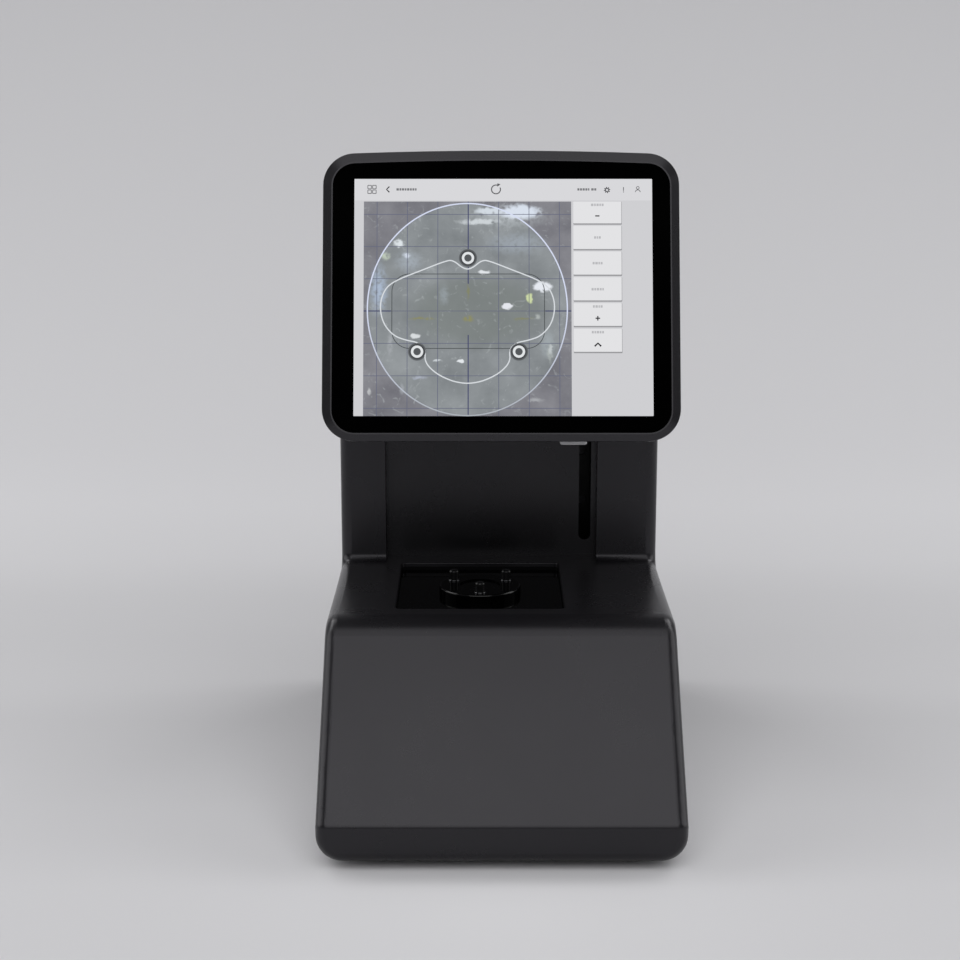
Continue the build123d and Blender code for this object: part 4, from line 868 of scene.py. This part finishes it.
def spot(tree, flat, middle, half, softness):
    """The mask of one soft spot on the screen."""
    return place(tree, "soft_spot", {"Place": flat, "Middle": (*middle, 0.0), "Half size": (*half, 1.0),
                                     "Softness": softness}).outputs["Mask"]


def camera_picture(tree):
    """Haze, the tints inside the blank and its box, faint flecks, then glints one over another."""
    flat = flat_place(tree)
    haze = noise(tree, flat, scale=0.035, detail=5.0, roughness=0.55)
    haze = remap(tree, haze, 0.33, 0.67)
    outer = blend(tree, haze, shown(112, 112, 119), shown(140, 140, 146))
    inner = blend(tree, haze, shown(124, 129, 132), shown(149, 154, 157))
    colour = blend(tree, spot(tree, flat, blank_middle, blank_half, 0.02), outer, inner)
    core = maths(tree, "MULTIPLY", spot(tree, flat, core_middle, core_half, 0.5), core_share)
    colour = blend(tree, core, colour, shown(120, 126, 124))
    smears = add(tree, "TexNoise", {"Vector": flat, "Scale": 0.16, "Detail": 4.0, "Distortion": 1.5})
    flecks = remap(tree, smears.outputs["Fac"], 0.6, 0.76, 0.0, 0.5)
    colour = blend(tree, flecks, colour, shown(178, 184, 186))
    wander = add(tree, "TexNoise", {"Vector": flat, "Scale": 0.22, "Detail": 3.0}).outputs["Color"]
    wander = vectors(tree, "SCALE", vectors(tree, "SUBTRACT", wander, noise_mean), glint_wander)
    ragged = vectors(tree, "ADD", flat, wander)
    for u, s, half_u, half_s, softness, *tone in glints:
        mask = spot(tree, ragged, (u, s), (half_u, half_s), softness)
        colour = blend(tree, mask, colour, shown(*tone))
    return colour


picture_light = lit("picture", camera_picture, depth=0.03)
print(len(glints), "glints")

# %% [markdown]
# The page, the bar along its top and the picture lie one on the other.

# %% Page, bar and picture
page_left, page_right, page_low, page_high = -95.5, 98.2, 15.2, 170.5
bar_low = 156.3
picture_left, picture_right, picture_high = -89.3, 45.5, 155.6
# a corner is a radius and its number of points
page_corner, picture_corner = (0.4, 8), (0.2, 8)
page = rounded(page_left, page_right, page_low, page_high, *page_corner)
bar = rounded(page_left, page_right, bar_low, page_high, *page_corner)
picture = rounded(picture_left, picture_right, page_low, picture_high, *picture_corner)
screen_piece("page", [plate(page, *on_glass)], page_grey)
screen_piece("bar", [plate(bar, *on_page)], bar_grey)
screen_piece("picture", [plate(picture, *on_page)], picture_light)

# %% [markdown]
# Over the picture lie a measuring grid, the rim of the blank, the frame shape with its box, and a
# mark for each of the three pins. The frame shape is drawn for one half and mirrored. Lines that
# cross end at levels of their own, so that no two of them share a face.

# %% Grid and axes
grid_first_u, grid_pitch_u, grid_first_s, grid_pitch_s = -80.7, 19.75, 20.2, 21.15
grid_count, axis_number = 7, 3
grid_line, axis_line, line_corner = 0.4, 0.7, (0.1, 2)
axis_low_end, axis_high_start, axis_left_end, axis_right_start = 68.0, 101.5, -71.5, 28.5
grid_upright_top, grid_level_top = shape_level - 0.01, shape_level - 0.015
axis_upright_top, axis_level_top = shape_level - 0.005, shape_level - 0.003
axis_u = grid_first_u + axis_number * grid_pitch_u
axis_s = grid_first_s + axis_number * grid_pitch_s


def upright_strip(u, width, top, low=page_low, high=picture_high):
    """A line up the picture, of a width, up to a level."""
    return plate(rounded(u - width / 2, u + width / 2, low, high, *line_corner), area_level, top)


def level_strip(s, width, top, left=picture_left, right=picture_right):
    """A line across the picture, of a width, up to a level."""
    return plate(rounded(left, right, s - width / 2, s + width / 2, *line_corner), area_level, top)


grid_shapes = [upright_strip(grid_first_u + grid_pitch_u * i, grid_line, grid_upright_top)
               for i in range(grid_count) if i != axis_number]
grid_shapes += [level_strip(grid_first_s + grid_pitch_s * i, grid_line, grid_level_top)
                for i in range(grid_count)]
screen_piece("grid", grid_shapes, lit("grid", (99, 103, 124)))
axis_shapes = [upright_strip(axis_u, axis_line, axis_upright_top, high=axis_low_end),
               upright_strip(axis_u, axis_line, axis_upright_top, low=axis_high_start),
               level_strip(axis_s, axis_line, axis_level_top, right=axis_left_end),
               level_strip(axis_s, axis_line, axis_level_top, left=axis_right_start)]
screen_piece("axes", axis_shapes, lit("axes", (68, 72, 108)))

# %% Blank, box, frame shape and pin marks
rim_line, box_line, shape_line = 0.85, 0.5, 0.8
box_top, frame_shape_top = shape_level + 0.005, shape_level + 0.01
rim = oval(*blank_middle, *blank_half, steps=160)


def rim_light(tree):
    """Blue-white high up, and dimmer towards the foot of the picture."""
    height = add(tree, "SeparateXYZ", {0: flat_place(tree)}).outputs["Y"]
    share = remap(tree, height, page_low, blank_middle[1])
    return blend(tree, share, shown(172, 178, 184), shown(214, 221, 242))


screen_piece("blank_rim", [drawn_line(rim, rim_line, *on_picture)], lit("rim", rim_light))
box_left, box_right, box_low, box_high, box_corner = -70.9, 28.0, 59.2, 107.9, (11.5, 12)
frame_box = rounded(box_left, box_right, box_low, box_high, *box_corner)
screen_piece("box", [drawn_line(frame_box, box_line, area_level, box_top)], lit("box", (74, 78, 80)))

shape_middle = -21.9
half_shape = ((2.5, 111.2), (9.5, 117.2), (15.0, 116.2), (29.0, 110.6), (46.0, 104.0), (53.5, 98.5),
              (57.0, 88.0), (55.0, 76.0), (48.0, 67.5), (40.0, 64.6), (31.5, 63.0), (27.0, 58.5),
              (27.8, 50.5), (21.0, 43.2), (11.0, 38.2), (3.0, 36.5))
right_half = np.array(half_shape) + (shape_middle, 0.0)
left_half = np.array([(shape_middle - u, s) for u, s in half_shape])
frame_shape = smoothed(np.vstack([left_half, right_half[::-1]]))
screen_piece("frame_shape", [drawn_line(frame_shape, shape_line, area_level, frame_shape_top)],
             lit("shape", (216, 220, 224)))

pin_marks = ((-21.6, 118.4), (-54.5, 57.1), (11.4, 57.1))
# ends of the piece's and the colour's names, outer and inner half width, level, colour
pin_layers = (
    ("discs", "disc", 5.9, 0.0, sign_level - 0.03, (100, 103, 106)),
    ("edges", "edge", 5.4, 0.0, sign_level - 0.02, (84, 87, 90)),
    ("shade", "shade", 4.9, 4.2, sign_level - 0.01, (66, 68, 71)),
    ("rings", "ring", 4.0, 2.4, sign_level, (226, 229, 231)),
)
for piece_end, colour_end, wide, narrow, level, colour in pin_layers:
    marks = [ring(oval(u, s, wide), oval(u, s, narrow), area_level, level) if narrow
             else plate(oval(u, s, wide), area_level, level) for u, s in pin_marks]
    screen_piece("pin_" + piece_end, marks, lit("pin_" + colour_end, colour))

# %% [markdown]
# The buttons are white plates with a thin shadow under each. Rows of short dashes stand where a
# label would be, and the signs are plain ones: minus, plus and an arrow head.

# %% Buttons
button_left, button_right = 46.9, 78.1
button_edges = ((141.2, 155.5), (124.3, 139.6), (107.5, 122.7), (90.6, 105.8), (73.9, 88.8), (57.0, 72.0))
button_middle = (button_left + button_right) / 2
shadow_drop, shadow_aside = 0.9, 0.3
button_corner, shadow_corner, dash_corner = (0.4, 4), (0.5, 4), (0.15, 3)
dash_height, dash_gap = 1.6, 0.45
screen_piece("button_shadows", [
    plate(rounded(button_left, button_right + shadow_aside, low - shadow_drop, high, *shadow_corner),
          *on_page) for low, high in button_edges], shadow_grey)
screen_piece("buttons", [
    plate(rounded(button_left, button_right, low, high, *button_corner), page_level, shape_level)
    for low, high in button_edges], button_white)
minus_s, plus_s, caret_s = 146.1, 78.9, 61.6
minus_width, plus_width, sign_line, caret_line = 2.8, 3.0, 0.8, 1.1
plus_upright_top = sign_level + 0.005
caret = around(button_middle, caret_s, (2.1, -1), (0, 1), (-2.1, -1))
screen_piece("button_signs", [
    plate(centred(button_middle, minus_s, minus_width, sign_line, *line_corner), *on_button),
    plate(centred(button_middle, plus_s, plus_width, sign_line, *line_corner), *on_button),
    plate(centred(button_middle, plus_s, sign_line, plus_width, *line_corner), shape_level, plus_upright_top),
    stroke(caret, caret_line, *on_button)], ink_black)


def dashes(left, s, lengths, height=dash_height, gap=dash_gap, levels=on_button):
    """A row of short bars that stands for a word."""
    starts = left + np.concatenate([[0], np.cumsum(np.array(lengths) + gap)[:-1]])
    return [plate(rounded(start, start + length, s - height / 2, s + height / 2, *dash_corner), *levels)
            for start, length in zip(starts, lengths)]


label_rows = ((153.4, (1.6, 1.1, 1.4, 1.0, 1.3)), (131.9, (1.2, 0.9, 1.3)),
              (115.0, (1.3, 1.6, 1.0, 1.2)), (97.9, (1.4, 1.1, 1.5, 1.2, 1.0)),
              (86.6, (1.2, 1.5, 0.9, 1.3)), (69.8, (1.3, 1.0, 1.5, 1.1, 1.2)))
labels = []
for s, lengths in label_rows:
    whole = sum(lengths) + dash_gap * (len(lengths) - 1)
    labels += dashes(button_middle - whole / 2, s, lengths)
screen_piece("button_labels", labels, label_grey)

# %% [markdown]
# Along the top are a sign for the list, an arrow for going back, a turning arrow, a gear, a dot
# for help and a head with shoulders.

# %% Signs in the bar
bar_middle = 163.6
list_u, back_u, turn_u, gear_u, help_u, person_u = -84.1, -73.7, -3.4, 68.9, 79.6, 88.9

square, square_gap, square_line, square_corner = 2.3, 3.1, 0.45, (0.2, 3)
squares = [(list_u + i * square_gap / 2, bar_middle + j * square_gap / 2) for i in (-1, 1) for j in (-1, 1)]
list_sign = [drawn_line(centred(u, s, square, square, *square_corner), square_line, *on_picture)
             for u, s in squares]

turn_radius, turn_line = 2.9, 0.7
turn_arc = arc(turn_u, bar_middle, turn_radius, turn_radius, np.radians(np.linspace(70, 385, 40)))
turn_head = around(turn_u, bar_middle, (0.9, 4.0), (0.9, 1.8), (3.0, 3.4))
turn_sign = [stroke(turn_arc, turn_line, *on_picture), plate(turn_head, *on_picture)]

gear_middle_radius, tooth_height, tooth_count, tooth_edge = 1.75, 0.35, 8, 4
gear_hole, gear_steps, gear_s = 0.75, 96, bar_middle - 0.4
teeth = np.linspace(0, 2 * pi, gear_steps, endpoint=False)
gear_radius = gear_middle_radius + tooth_height * np.tanh(tooth_edge * np.sin(tooth_count * teeth))
gear_sign = [ring(arc(gear_u, gear_s, gear_radius, gear_radius, teeth),
                  oval(gear_u, gear_s, gear_hole, steps=gear_steps), *on_picture)]

dot_s, dot_radius, help_line = bar_middle - 1.7, 0.32, 0.5
help_stem = around(help_u, bar_middle, (0, -0.9), (0, 1.5))
help_sign = [plate(oval(help_u, dot_s, dot_radius, steps=16), *on_picture),
             stroke(help_stem, help_line, *on_picture)]

head_s, head_radius, head_line = bar_middle + 1.0, 0.9, 0.4
shoulder_s, shoulder_width, shoulder_height, shoulder_line = bar_middle - 2.3, 1.7, 2.0, 0.45
shoulders = arc(person_u, shoulder_s, shoulder_width, shoulder_height, np.radians(np.linspace(15, 165, 20)))
person_sign = [drawn_line(oval(person_u, head_s, head_radius, steps=24), head_line, *on_picture),
               stroke(shoulders, shoulder_line, *on_picture)]

screen_piece("bar_signs", list_sign + turn_sign + gear_sign + help_sign + person_sign, ink_grey)
back_line = 0.8
back_sign = around(back_u, bar_middle, (0.9, 1.9), (-0.9, 0), (0.9, -1.9))
screen_piece("back_sign", [stroke(back_sign, back_line, *on_picture)], ink_black)

word_rows = ((-68.2, (1.6, 1.2, 1.4, 1.1, 1.5, 1.2, 1.3, 1.0)), (49.6, (1.3, 1.3, 1.4, 1.3, 0.9)),
             (58.6, (1.6, 1.3)))
word_height, word_gap = 1.5, 0.4
words = []
for left, lengths in word_rows:
    words += dashes(left, bar_middle, lengths, word_height, word_gap, on_picture)
screen_piece("bar_words", words, lit("words", (120, 120, 123)))
